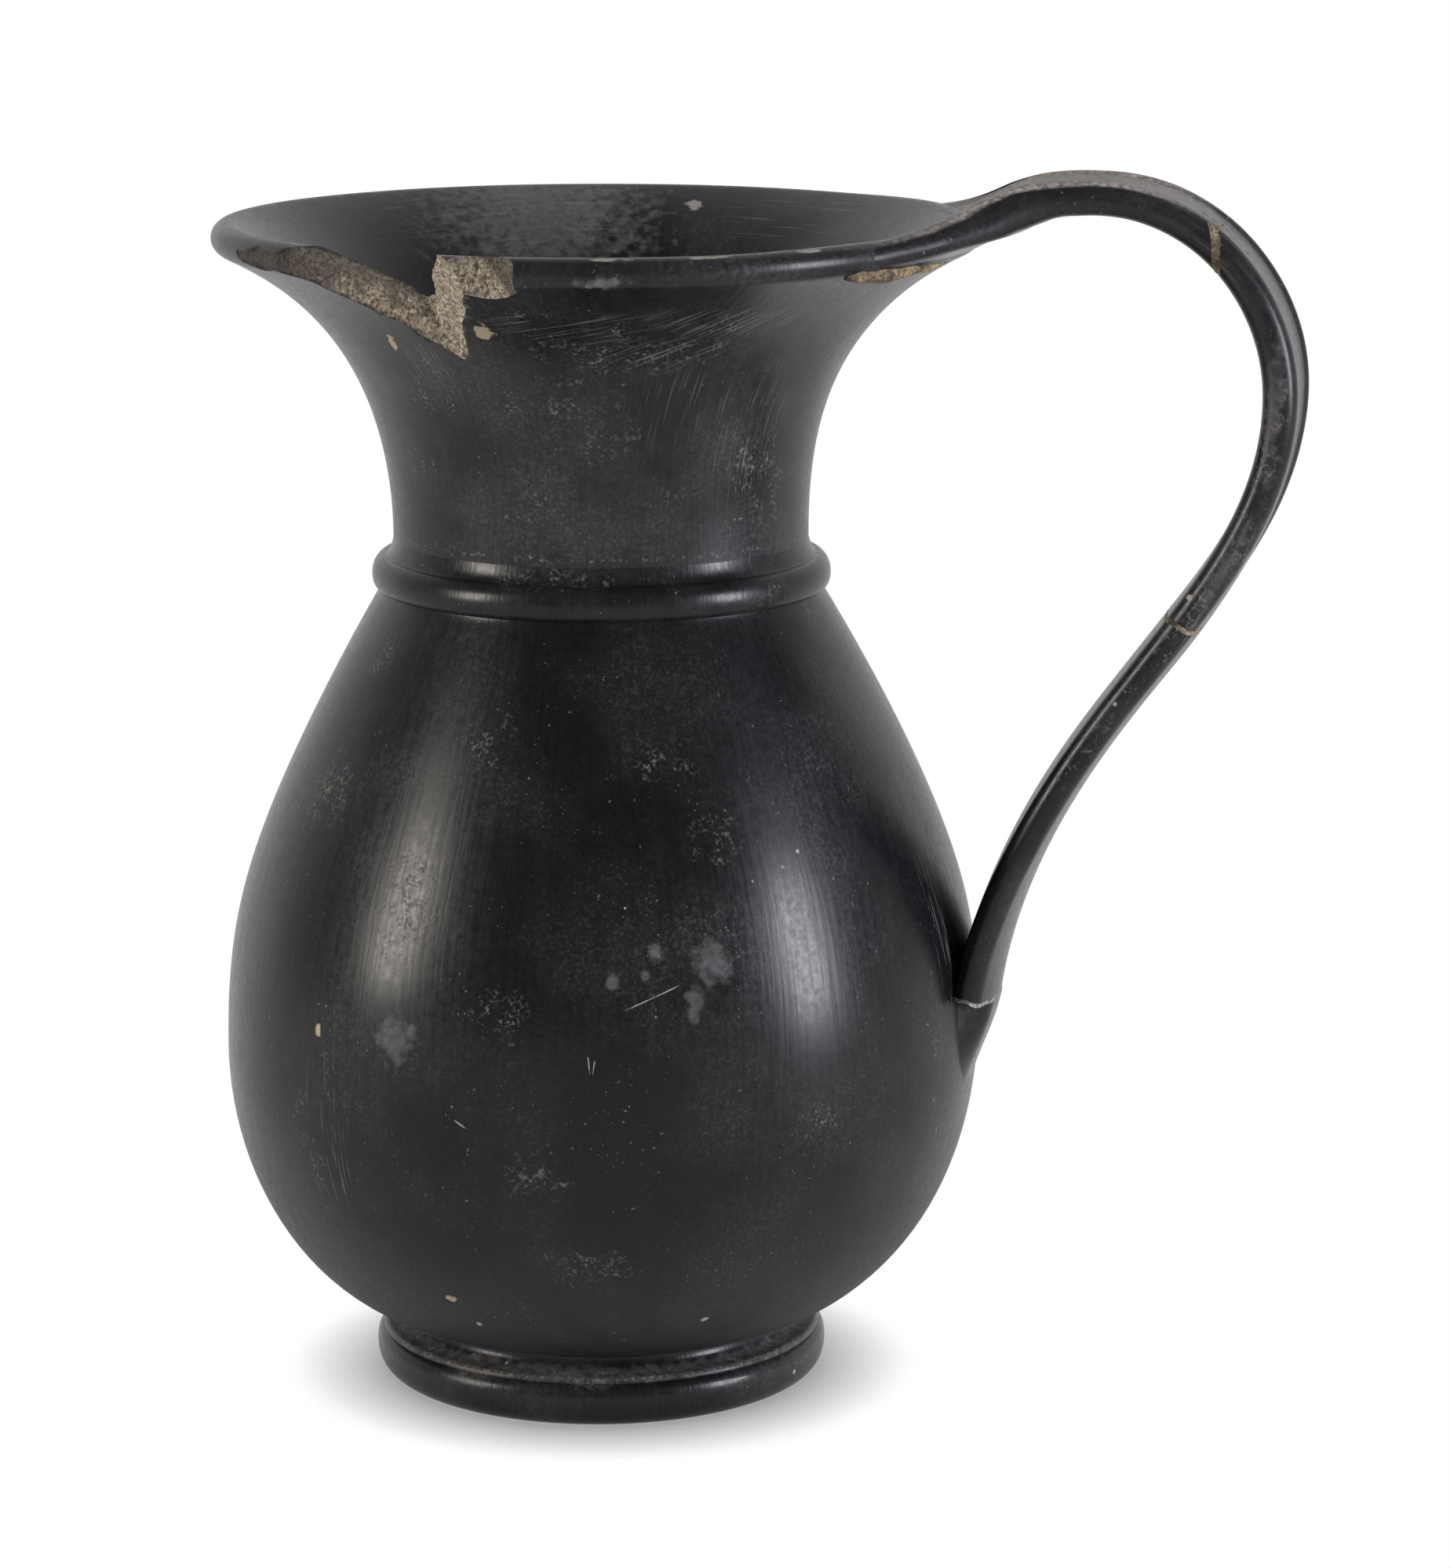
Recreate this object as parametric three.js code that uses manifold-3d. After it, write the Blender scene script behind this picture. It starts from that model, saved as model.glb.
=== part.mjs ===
// A black burnished clay olpe: a round-bellied jug with a trumpet mouth and a high strap handle.
// The mouth has lost a piece of its rim, and the handle has been broken and mended.
// Millimetres, +Z up, standing on its foot, with the handle toward +X.
import * as THREE from "three";
import { mergeVertices } from "three/addons/utils/BufferGeometryUtils.js";
import Module from "manifold-3d";

const wasm = await Module();
wasm.setup();

// Fits and walls
const JOINT_GAP = 0.3; // between pieces that are luted or glued together
const WALL = 5; // belly and neck
const FLOOR = 6; // under the belly
const ROUND_STEPS = 56; // flats around each turned piece
const FOOT_STEPS = 5; // flats along each curve of an outline
const BELLY_STEPS = 8;
const CORDON_STEPS = 4;
const NECK_STEPS = 7;
const HALVINGS = 30; // search for a height on a curve

// Foot ring
const FOOT_HEIGHT = 12;
const FOOT_TOP_RADIUS = 38.2; // crease under the belly
const FOOT_RIDGE_PROUD = 4.8; // worn upper edge, beyond the crease
const FOOT_RIDGE_HEIGHT = 9.9;
const FOOT_BULGE_PROUD = 6; // widest part, beyond the crease
const FOOT_BULGE_HEIGHT = 6.4;
const FOOT_REST_PROUD = 0.6; // outer edge of the resting face, beyond the crease
const FOOT_REST_WIDTH = 5; // flat resting face
const FOOT_HOLLOW_SLOPE = 1.5; // draw of the ring's inner side over its height

// Belly: a flat bottom, a swelling lower half and a long sloping shoulder
const BASE_RADIUS = 35.2;
const BASE_RISE = THREE.MathUtils.degToRad(8.2); // slope where the wall leaves the bottom
const BASE_PULL = 22.7; // how far the lower curve keeps that slope
const BELLY_RADIUS = 73.15;
const BELLY_HEIGHT = 66.6; // of the widest part
const BELLY_PULL_DOWN = 25.8; // roundness below the widest part
const BELLY_PULL_UP = 23.5; // roundness above it
const SHOULDER_HEIGHT = 154;
const SHOULDER_SLOPE = THREE.MathUtils.degToRad(59.9);
const SHOULDER_PULL = 52.8;

// Cordon: the raised moulding that hides the joint of neck and shoulder
const CORDON_PROUD = 3.9;
const CORDON_HEIGHT = 9.6;
const CORDON_BULGE = 2.7; // height of its widest part above the shoulder
const CORDON_UNDERCUT = 0.6; // how far it draws in below that

// Neck and mouth
const NECK_RADIUS = 39.8;
const NECK_STRAIGHT = 2.1; // upright stretch above the cordon, before the neck starts to open
const FLARE_PULL = 34; // how far it then stays nearly upright
const MOUTH_PULL = 17.2; // how far the mouth keeps the slope of its lip
const MOUTH_SLOPE = THREE.MathUtils.degToRad(25.7);
const MOUTH_IN_FROM_BELLY = 0.15; // the mouth is as wide as the belly, less this at each side
const RIM_HEIGHT = 226;
const LIP_ROUND = 3; // radius of the rounded lip

// Lost pieces of the rim: a broken-off shard, and a small spall beside it
const SHARD_AZIMUTH = THREE.MathUtils.degToRad(-88);
const SHARD_REACH = 49.9; // the break's distance from the axis
const SHARD_END = -13.8; // end of the break, along it
const SHARD_END_DRAW = 7; // slant of that end
const SPALL_AZIMUTH = THREE.MathUtils.degToRad(-93);
const SPALL_REACH = 67.6;
const SPALL_WIDTH = 13;

// Handle: a strap from the lip up to its crown, out, and down to the belly
const STRAP_WIDTH = 27;
const STRAP_THICKNESS = 7;
const STRAP_TROUGH = 0.8; // hollow of the outer face between its raised edges
const STRAP_RIM_SPREAD = 92; // width where it grows out of the lip
const STRAP_SPREAD_LENGTH = 40; // length over which it narrows
const STRAP_HUG_LENGTH = 30; // length over which it takes up the belly's roundness
const STRAP_STEP = 5; // spacing of its sections
const STRAP_RISE = THREE.MathUtils.degToRad(20); // slope as it leaves the lip
const STRAP_RISE_PULL = 12.5;
const CROWN_OUT = 23.3; // crown, out from the lip
const CROWN_RISE = 6.7; // crown of the centre line, above the rim
const CROWN_PULL_IN = 15.5;
const CROWN_PULL_OUT = 21.8;
const REACH = 131.4; // outermost point of the centre line, from the axis
const REACH_DROP = 30.3; // that point, below the rim
const REACH_PULL_UP = 20.7;
const REACH_PULL_DOWN = 37.6;
const ROOT_HEIGHT = 80; // where the strap meets its stump on the belly
const ROOT_LEAN = THREE.MathUtils.degToRad(81);
const ROOT_PULL = 46;
const STUMP_LENGTH = 28; // over which the stump sinks into the belly

// Breaks of the handle: place along the strap from the lip, width of the filling, slant of the break
const UPPER_BREAK = 53;
const UPPER_FILL = 2.4;
const UPPER_SLANT = -1;
const MIDDLE_BREAK = 132;
const MIDDLE_FILL = 1;
const MIDDLE_SLANT = 0.15;
const ROOT_FILL = 0.8;
const ROOT_SLANT = 0.4;

// Filling pressed under the strap where it joins the lip
const RIM_FILL_FROM = THREE.MathUtils.degToRad(-36);
const RIM_FILL_TO = THREE.MathUtils.degToRad(-6);
const RIM_FILL_ROUND = 2.2;
const RIM_FILL_DROP = 4.2; // its middle, below the lip's middle
const RIM_FILL_OUT = 1.2; // its middle, out from the lip's middle
const RIM_FILL_STEPS = 8; // flats along it
const RIM_FILL_SIDES = 5; // flats around each half of it

const BLACK_BURNISHED = { color: 0x2e2c2f, roughness: 0.42, metalness: 0 };
const TAN_FILLING = { color: 0xa58a66, roughness: 0.9, metalness: 0 };

// Heights and radii that several pieces share
const bellyBottom = FOOT_HEIGHT + JOINT_GAP;
const neckBottom = SHOULDER_HEIGHT + JOINT_GAP;
const flareHeight = neckBottom + CORDON_HEIGHT + NECK_STRAIGHT;
const neckBore = NECK_RADIUS - WALL;
const mouthRadius = BELLY_RADIUS - MOUTH_IN_FROM_BELLY;
const cordonBore = NECK_RADIUS + JOINT_GAP;
const shoulderRadius = cordonBore + CORDON_PROUD - CORDON_UNDERCUT;
const lipMiddle = new THREE.Vector2(mouthRadius - LIP_ROUND, RIM_HEIGHT - LIP_ROUND);

// A point at a distance and an angle from another, in the plane of an outline
function away(from, distance, angle) {
  return new THREE.Vector2(from.x + distance * Math.cos(angle), from.y + distance * Math.sin(angle));
}

// Turns an outline of (radius, height) points about the upright axis
function turned(points) {
  return new THREE.LatheGeometry(points, ROUND_STEPS).rotateX(Math.PI / 2);
}

function toSolid(geometry) {
  const bare = new THREE.BufferGeometry().setAttribute("position", geometry.getAttribute("position"));
  const merged = mergeVertices(bare.setIndex(geometry.getIndex()), 1e-4);
  const corners = { numProp: 3, vertProperties: merged.getAttribute("position").array };
  return new wasm.Manifold(new wasm.Mesh({ ...corners, triVerts: new Uint32Array(merged.getIndex().array) }));
}

function toGeometry(solid) {
  const mesh = solid.getMesh();
  const geometry = new THREE.BufferGeometry();
  geometry.setAttribute("position", new THREE.BufferAttribute(mesh.vertProperties, 3));
  geometry.setIndex(new THREE.BufferAttribute(mesh.triVerts, 1));
  return geometry;
}

function cutBy(geometry, ...tools) {
  return toGeometry(tools.reduce((left, tool) => left.subtract(toSolid(tool)), toSolid(geometry)));
}

function footRing() {
  const restOuter = FOOT_TOP_RADIUS + FOOT_REST_PROUD;
  const restInner = restOuter - FOOT_REST_WIDTH;
  const bulge = FOOT_TOP_RADIUS + FOOT_BULGE_PROUD;
  const ridge = FOOT_TOP_RADIUS + FOOT_RIDGE_PROUD;
  const outline = new THREE.Path();
  outline.moveTo(restInner, 0);
  outline.lineTo(restOuter, 0);
  outline.quadraticCurveTo(bulge, 0, bulge, FOOT_BULGE_HEIGHT);
  outline.quadraticCurveTo(bulge, FOOT_RIDGE_HEIGHT, ridge, FOOT_RIDGE_HEIGHT);
  outline.quadraticCurveTo(FOOT_TOP_RADIUS, FOOT_RIDGE_HEIGHT, FOOT_TOP_RADIUS, FOOT_HEIGHT);
  outline.lineTo(restInner - FOOT_HOLLOW_SLOPE, FOOT_HEIGHT);
  outline.lineTo(restInner, 0);
  return turned(outline.getPoints(FOOT_STEPS));
}

// Outer side of the belly, from its flat bottom to the shoulder, set out by a growth
function bellySide(outline, growth) {
  const base = new THREE.Vector2(BASE_RADIUS, bellyBottom - growth);
  const rise = away(base, BASE_PULL, BASE_RISE);
  const wide = BELLY_RADIUS + growth;
  const shoulder = new THREE.Vector2(shoulderRadius + growth, SHOULDER_HEIGHT);
  const slope = away(shoulder, SHOULDER_PULL, -SHOULDER_SLOPE);
  outline.moveTo(0, base.y);
  outline.lineTo(base.x, base.y);
  outline.bezierCurveTo(rise.x, rise.y, wide, BELLY_HEIGHT - BELLY_PULL_DOWN, wide, BELLY_HEIGHT);
  outline.bezierCurveTo(wide, BELLY_HEIGHT + BELLY_PULL_UP, slope.x, slope.y, shoulder.x, shoulder.y);
  return outline;
}

function belly() {
  const outline = bellySide(new THREE.Path(), 0);
  const mouth = new THREE.Vector2(neckBore, SHOULDER_HEIGHT);
  const slope = away(mouth, SHOULDER_PULL, -SHOULDER_SLOPE);
  const wide = BELLY_RADIUS - WALL;
  const floor = new THREE.Vector2(BASE_RADIUS - WALL / 2, bellyBottom + FLOOR);
  const rise = away(floor, BASE_PULL, BASE_RISE);
  outline.lineTo(mouth.x, mouth.y);
  outline.bezierCurveTo(slope.x, slope.y, wide, BELLY_HEIGHT + BELLY_PULL_UP, wide, BELLY_HEIGHT);
  outline.bezierCurveTo(wide, BELLY_HEIGHT - BELLY_PULL_DOWN, rise.x, rise.y, floor.x, floor.y);
  outline.lineTo(0, floor.y);
  return turned(outline.getPoints(BELLY_STEPS));
}

// The belly as a full shape with the joint gap around it, which the handle's foot is cut by
function bellySeat() {
  const outline = bellySide(new THREE.Path(), JOINT_GAP);
  outline.lineTo(0, SHOULDER_HEIGHT);
  return turned(outline.getPoints(BELLY_STEPS));
}

function cordon() {
  const bulge = neckBottom + CORDON_BULGE;
  const above = CORDON_HEIGHT - CORDON_BULGE;
  const outline = new THREE.Path();
  outline.moveTo(cordonBore, neckBottom);
  outline.lineTo(shoulderRadius, neckBottom);
  const proud = cordonBore + CORDON_PROUD;
  outline.quadraticCurveTo(proud, neckBottom, proud, bulge);
  outline.absellipse(cordonBore, bulge, CORDON_PROUD, above, 0, Math.PI / 2, false, 0);
  outline.lineTo(cordonBore, neckBottom);
  return turned(outline.getPoints(CORDON_STEPS));
}

// Outer side of the neck, up the flare and over the lip to the angle given, set out by a growth
function neckSide(outline, growth, lipEnd) {
  const radius = NECK_RADIUS + growth;
  const round = LIP_ROUND + growth;
  const lipStart = MOUTH_SLOPE - Math.PI / 2;
  const under = away(lipMiddle, round, lipStart);
  const pull = away(under, MOUTH_PULL, MOUTH_SLOPE + Math.PI);
  outline.lineTo(radius, flareHeight);
  outline.bezierCurveTo(radius, flareHeight + FLARE_PULL, pull.x, pull.y, under.x, under.y);
  outline.absarc(lipMiddle.x, lipMiddle.y, round, lipStart, lipEnd, false);
  return outline;
}

function neckAndMouth() {
  const outline = new THREE.Path();
  outline.moveTo(NECK_RADIUS, neckBottom);
  neckSide(outline, 0, MOUTH_SLOPE + Math.PI / 2);
  const inner = away(lipMiddle, LIP_ROUND, MOUTH_SLOPE + Math.PI / 2);
  const pull = away(inner, MOUTH_PULL, MOUTH_SLOPE + Math.PI);
  outline.bezierCurveTo(pull.x, pull.y, neckBore, flareHeight + FLARE_PULL, neckBore, flareHeight);
  outline.lineTo(neckBore, neckBottom);
  outline.lineTo(NECK_RADIUS, neckBottom);
  return cutBy(turned(outline.getPoints(NECK_STEPS)), lostShard(), lostSpall());
}

// The neck as a full shape with the joint gap around it, which the handle's upper end is cut by
function neckSeat() {
  const outline = new THREE.Path();
  outline.moveTo(0, neckBottom);
  outline.lineTo(NECK_RADIUS + JOINT_GAP, neckBottom);
  neckSide(outline, JOINT_GAP, Math.PI / 2);
  outline.lineTo(0, RIM_HEIGHT + JOINT_GAP);
  return turned(outline.getPoints(NECK_STEPS));
}

// An upright prism through the rim, from a plan whose x points outward at the azimuth given
function rimTool(plan, azimuth) {
  const depth = RIM_HEIGHT - flareHeight;
  const prism = new THREE.ExtrudeGeometry(new THREE.Shape(plan), { depth, bevelEnabled: false });
  return prism.rotateZ(azimuth).translate(0, 0, flareHeight + LIP_ROUND);
}

function lostShard() {
  const clear = 2 * mouthRadius;
  const plan = [
    new THREE.Vector2(SHARD_REACH, SHARD_END),
    new THREE.Vector2(SHARD_REACH, -clear),
    new THREE.Vector2(clear, -clear),
    new THREE.Vector2(clear, SHARD_END + SHARD_END_DRAW * (clear / SHARD_REACH - 1)),
  ];
  return rimTool(plan, SHARD_AZIMUTH);
}

function lostSpall() {
  const side = SPALL_WIDTH / 2;
  const clear = 2 * mouthRadius;
  const plan = [
    new THREE.Vector2(SPALL_REACH, side),
    new THREE.Vector2(SPALL_REACH, -side),
    new THREE.Vector2(clear, -side),
    new THREE.Vector2(clear, side),
  ];
  return rimTool(plan, SPALL_AZIMUTH);
}

// Radius of the belly's outer side at a height, found by halving along the curve that covers it
function bellyRadiusAt(height) {
  const sides = bellySide(new THREE.Path(), 0).curves.slice(1);
  const side = height < BELLY_HEIGHT ? sides[0] : sides[1];
  let low = 0;
  let high = 1;
  for (let step = 0; step < HALVINGS; step++) {
    const middle = (low + high) / 2;
    if (side.getPoint(middle).y < height) low = middle;
    else high = middle;
  }
  return side.getPoint(low).x;
}

// Centre line of the strap in the upright plane of the handle: lip, crown, reach, root and stump
function strapLine() {
  const crown = new THREE.Vector2(lipMiddle.x + CROWN_OUT, RIM_HEIGHT + CROWN_RISE);
  const reach = new THREE.Vector2(REACH, RIM_HEIGHT - REACH_DROP);
  const seat = JOINT_GAP + STRAP_THICKNESS / 2;
  const root = new THREE.Vector2(bellyRadiusAt(ROOT_HEIGHT) + seat, ROOT_HEIGHT);
  const sunkHeight = ROOT_HEIGHT - STUMP_LENGTH;
  const sunk = new THREE.Vector2(bellyRadiusAt(sunkHeight) - seat, sunkHeight);
  const line = new THREE.CurvePath();
  const bend = (a, b, c, d) => line.add(new THREE.CubicBezierCurve(a, b, c, d));
  bend(lipMiddle, away(lipMiddle, STRAP_RISE_PULL, STRAP_RISE), away(crown, CROWN_PULL_IN, Math.PI), crown);
  bend(crown, away(crown, CROWN_PULL_OUT, 0), away(reach, REACH_PULL_UP, Math.PI / 2), reach);
  bend(reach, away(reach, REACH_PULL_DOWN, -Math.PI / 2), away(root, ROOT_PULL, ROOT_LEAN), root);
  const third = STUMP_LENGTH / 3;
  bend(root, away(root, third, ROOT_LEAN + Math.PI), away(sunk, third, Math.PI / 2), sunk);
  return line;
}

const strap = strapLine();
const strapLength = strap.getLength();
const rootBreak = strap.getCurveLengths()[2];

// Share of the spread that is left at a place along the strap: all of it at the lip, none past its length
function spreadAt(place) {
  return Math.max(0, 1 - place / STRAP_SPREAD_LENGTH) ** 2;
}

// Share of the belly's roundness that the strap has taken up at a place along it: all of it at the root
function hugAt(place) {
  return THREE.MathUtils.clamp(1 - (rootBreak - place) / STRAP_HUG_LENGTH, 0, 1);
}

// How far an arc of the radius given falls back from its crown at a distance across
function fallBack(radius, across) {
  return radius - Math.sqrt(Math.max(0, radius ** 2 - across ** 2));
}

// Outline of the strap across its length, as (across, outward) points: round edges, a hollow outer face
function strapSection(place) {
  const spread = spreadAt(place);
  const trough = STRAP_TROUGH * (1 - hugAt(place));
  const edge = THREE.MathUtils.lerp(STRAP_THICKNESS / 2, LIP_ROUND, spread);
  const flat = THREE.MathUtils.lerp(STRAP_WIDTH, STRAP_RIM_SPREAD, spread) / 2 - edge;
  const section = [];
  for (const side of [1, -1]) {
    for (let step = -2; step <= 2; step++) {
      const angle = (step * Math.PI) / 4;
      section.push(new THREE.Vector2(side * (flat + edge * Math.cos(angle)), side * edge * Math.sin(angle)));
    }
    for (const share of [0.5, 0, -0.5]) {
      const hollow = side > 0 ? trough * (1 - share * share) : 0;
      section.push(new THREE.Vector2(side * share * flat, side * (edge - hollow)));
    }
  }
  return section;
}

// One ring of corners around the strap; the slant leans the ring along the strap, and near its ends
// the ring bends round with the lip and with the belly
function strapRing(place, slant) {
  const share = place / strapLength;
  const middle = strap.getPointAt(share);
  const along = strap.getTangentAt(share);
  const spread = spreadAt(place);
  const hug = hugAt(place);
  return strapSection(place).map(({ x: across, y: outward }) => {
    const lean = slant * outward;
    const drape = spread * fallBack(lipMiddle.x, across) + hug * fallBack(BELLY_RADIUS, across);
    const x = middle.x - along.y * outward + along.x * lean - drape;
    const z = middle.y + along.x * outward + along.y * lean;
    return new THREE.Vector3(x, across, z);
  });
}

// A closed skin over a row of rings, with a fan of faces over each end
function loft(rings) {
  const count = rings[0].length;
  const corners = rings.flat();
  const faces = [];
  for (let start = 0; start < corners.length - count; start += count) {
    for (let i = 0; i < count; i++) {
      const next = (i + 1) % count;
      faces.push(start + i, start + next, start + count + next);
      faces.push(start + i, start + count + next, start + count + i);
    }
  }
  const last = corners.length - count;
  for (const [start, turn] of [[0, 0], [last, 1]]) {
    const ring = corners.slice(start, start + count);
    const centre = ring.reduce((sum, corner) => sum.add(corner), new THREE.Vector3()).divideScalar(count);
    const middle = corners.push(centre) - 1;
    for (let i = 0; i < count; i++) {
      faces.push(middle, start + ((i + 1 - turn) % count), start + ((i + turn) % count));
    }
  }
  return new THREE.BufferGeometry().setFromPoints(corners).setIndex(faces);
}

// A stretch of the strap between two places along it, with the slant of each end
function strapStretch(from, to, slantFrom, slantTo) {
  const steps = Math.max(1, Math.round((to - from) / STRAP_STEP));
  const rings = [];
  for (let step = 0; step <= steps; step++) {
    const share = step / steps;
    const place = THREE.MathUtils.lerp(from, to, share);
    rings.push(strapRing(place, THREE.MathUtils.lerp(slantFrom, slantTo, share)));
  }
  return loft(rings);
}

// A break of the handle: the places where its filling starts and ends, and where the strap goes on
function strapBreak(place, fill, slant) {
  const gap = JOINT_GAP * Math.hypot(1, slant);
  return {
    slant,
    before: place - fill / 2 - gap,
    from: place - fill / 2,
    to: place + fill / 2,
    after: place + fill / 2 + gap,
  };
}

function breakFilling({ from, to, slant }) {
  return strapStretch(from, to, slant, slant);
}

// A bead of filling along the lip, under the strap, cut to the surfaces that it was pressed against
function rimFilling(strapEnd) {
  const arc = new THREE.EllipseCurve(
    0, 0, lipMiddle.x + RIM_FILL_OUT, lipMiddle.x + RIM_FILL_OUT, RIM_FILL_FROM, RIM_FILL_TO, false, 0,
  );
  const height = lipMiddle.y - RIM_FILL_DROP;
  const route = arc.getPoints(RIM_FILL_STEPS).map(({ x, y }) => new THREE.Vector3(x, y, height));
  const bead = new THREE.Shape().absarc(0, 0, RIM_FILL_ROUND, 0, 2 * Math.PI, false);
  const extrudePath = new THREE.CatmullRomCurve3(route);
  const flats = { curveSegments: RIM_FILL_SIDES, steps: RIM_FILL_STEPS };
  const filling = new THREE.ExtrudeGeometry(bead, { ...flats, extrudePath });
  const clearStrap = strapEnd.clone().translate(0, 0, -JOINT_GAP);
  return cutBy(filling, neckSeat(), clearStrap, strapEnd);
}

const olpe = new THREE.Group();

function addPiece(name, geometry, finish) {
  const piece = new THREE.Mesh(geometry, new THREE.MeshStandardMaterial(finish));
  piece.name = name;
  olpe.add(piece);
}

addPiece("foot_ring", footRing(), BLACK_BURNISHED);
addPiece("belly", belly(), BLACK_BURNISHED);
addPiece("cordon", cordon(), BLACK_BURNISHED);
addPiece("neck_and_mouth", neckAndMouth(), BLACK_BURNISHED);

const upper = strapBreak(UPPER_BREAK, UPPER_FILL, UPPER_SLANT);
const middle = strapBreak(MIDDLE_BREAK, MIDDLE_FILL, MIDDLE_SLANT);
const root = strapBreak(rootBreak, ROOT_FILL, ROOT_SLANT);
const upperStrap = strapStretch(0, upper.before, 0, upper.slant);
const middleStrap = strapStretch(upper.after, middle.before, upper.slant, middle.slant);
const lowerStrap = strapStretch(middle.after, root.before, middle.slant, root.slant);
const stump = strapStretch(root.after, strapLength, root.slant, 0);
addPiece("handle_upper", cutBy(upperStrap, neckSeat()), BLACK_BURNISHED);
addPiece("handle_middle", middleStrap, BLACK_BURNISHED);
addPiece("handle_lower", cutBy(lowerStrap, bellySeat()), BLACK_BURNISHED);
addPiece("handle_root", cutBy(stump, bellySeat()), BLACK_BURNISHED);
addPiece("upper_mend", breakFilling(upper), TAN_FILLING);
addPiece("middle_mend", breakFilling(middle), TAN_FILLING);
addPiece("root_mend", cutBy(breakFilling(root), bellySeat()), TAN_FILLING);
addPiece("rim_mend", rimFilling(upperStrap), TAN_FILLING);

// The origin is under the middle of the whole outline, on the surface that the foot stands on
const outline = new THREE.Box3().setFromObject(olpe);
olpe.position.x = -(outline.min.x + outline.max.x) / 2;

const part = new THREE.Group();
part.add(olpe);

export default part;
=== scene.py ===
# A black burnished clay jug with a trumpet mouth and a high strap handle, chipped at the rim and mended.
import math

import bpy
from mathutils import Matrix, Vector, kdtree, noise


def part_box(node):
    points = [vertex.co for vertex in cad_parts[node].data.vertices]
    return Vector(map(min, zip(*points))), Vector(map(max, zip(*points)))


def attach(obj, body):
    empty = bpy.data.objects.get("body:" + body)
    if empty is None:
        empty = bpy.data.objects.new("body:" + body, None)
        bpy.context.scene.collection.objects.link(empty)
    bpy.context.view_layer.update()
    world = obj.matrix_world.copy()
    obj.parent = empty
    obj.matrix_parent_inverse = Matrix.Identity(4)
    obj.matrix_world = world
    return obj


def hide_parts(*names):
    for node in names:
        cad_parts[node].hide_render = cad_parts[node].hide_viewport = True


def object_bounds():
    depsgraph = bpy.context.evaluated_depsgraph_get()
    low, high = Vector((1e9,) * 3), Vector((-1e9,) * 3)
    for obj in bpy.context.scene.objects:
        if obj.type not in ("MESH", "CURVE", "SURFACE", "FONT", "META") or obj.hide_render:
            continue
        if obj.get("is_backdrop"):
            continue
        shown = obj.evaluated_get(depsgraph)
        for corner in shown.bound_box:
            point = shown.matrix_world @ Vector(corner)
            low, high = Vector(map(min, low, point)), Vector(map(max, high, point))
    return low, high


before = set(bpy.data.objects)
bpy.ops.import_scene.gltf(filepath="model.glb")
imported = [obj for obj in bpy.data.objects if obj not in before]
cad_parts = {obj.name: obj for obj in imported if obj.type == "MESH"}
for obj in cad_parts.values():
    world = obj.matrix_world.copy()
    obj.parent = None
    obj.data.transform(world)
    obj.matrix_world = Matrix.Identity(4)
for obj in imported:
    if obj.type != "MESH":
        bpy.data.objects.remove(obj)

MM = 0.001
CAD_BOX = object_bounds()


# Sizes in millimetres: radii from the vessel's axis, heights above the ground

def reach(node):
    """Widest radius, lowest height and highest height of a turned node."""
    low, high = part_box(node)
    return high.y / MM, low.z / MM, high.z / MM


FOOT_RADIUS = reach("foot_ring")[0]
BELLY_RADIUS, BELLY_BOTTOM, SHOULDER_HEIGHT = reach("belly")
CORDON_RADIUS = reach("cordon")[0]
MOUTH_RADIUS, NECK_BOTTOM, RIM_HEIGHT = reach("neck_and_mouth")
AXIS = (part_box("belly")[0].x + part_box("belly")[1].x) / 2

WALL = 5
FLOOR = 6
ROUND_STEPS = 288
CURVE_STEPS = 28
MERGED = 0.005  # points nearer than this are one
CREASE = math.radians(40)  # edges sharper than this stay sharp

# Foot ring
FOOT_CREASE_RADIUS = 38.2
FOOT_RIDGE_RADIUS = 42.9
FOOT_RIDGE_HEIGHT = 10
FOOT_RIDGE_ROUND = 1
FOOT_GROOVE_HEIGHT = 8.7
FOOT_GROOVE_DEPTH = 0.25
FOOT_BULGE_HEIGHT = 5.8
FOOT_REST_RADIUS = 38.8
FOOT_REST_WIDTH = 5
FOOT_HOLLOW_SLOPE = 1.5
FOOT_SEAT = 0.4
FOOT_GROOVE_PULL = 0.6
FOOT_RIDGE_START = -0.2

# Belly
BASE_RADIUS = 35.2
BASE_RISE = math.radians(8.2)
BASE_PULL = 22.7
BELLY_HEIGHT = 66.6
BELLY_PULL_DOWN = 25.8
BELLY_PULL_UP = 23.5
SHOULDER_RADIUS = 43.4
SHOULDER_SLOPE = math.radians(59.9)
SHOULDER_PULL = 52.8
SHOULDER_LIP = Vector((42.4, 156.3))
SHOULDER_LIP_PULL = 1.8

# Cordon: a round bead between two creases, and a slope from it up to the neck
BEAD_BOTTOM = Vector((42.6, 155.7))
BEAD_MIDDLE = 158.6
BEAD_TOP = Vector((41.3, 162.2))
SLOPE_TOP = 166.5
SLOPE_PULL = (0.4, 0.6)
SLOPE_SINK = 0.2
BEAD_PULL_LOW = 0.6
BEAD_PULL_HIGH = 1
BEAD_PULL_TOP = Vector((0.9, 0.3))
CORDON_SINK = 1

# Neck and mouth
NECK_RADIUS = 39.8
FLARE_HEIGHT = 166
FLARE_PULL = 34
MOUTH_PULL = 17.2
MOUTH_SLOPE = math.radians(25.7)
LIP_ROUND = 3
LIP_MIDDLE = Vector((MOUTH_RADIUS - LIP_ROUND, RIM_HEIGHT - LIP_ROUND))

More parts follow.
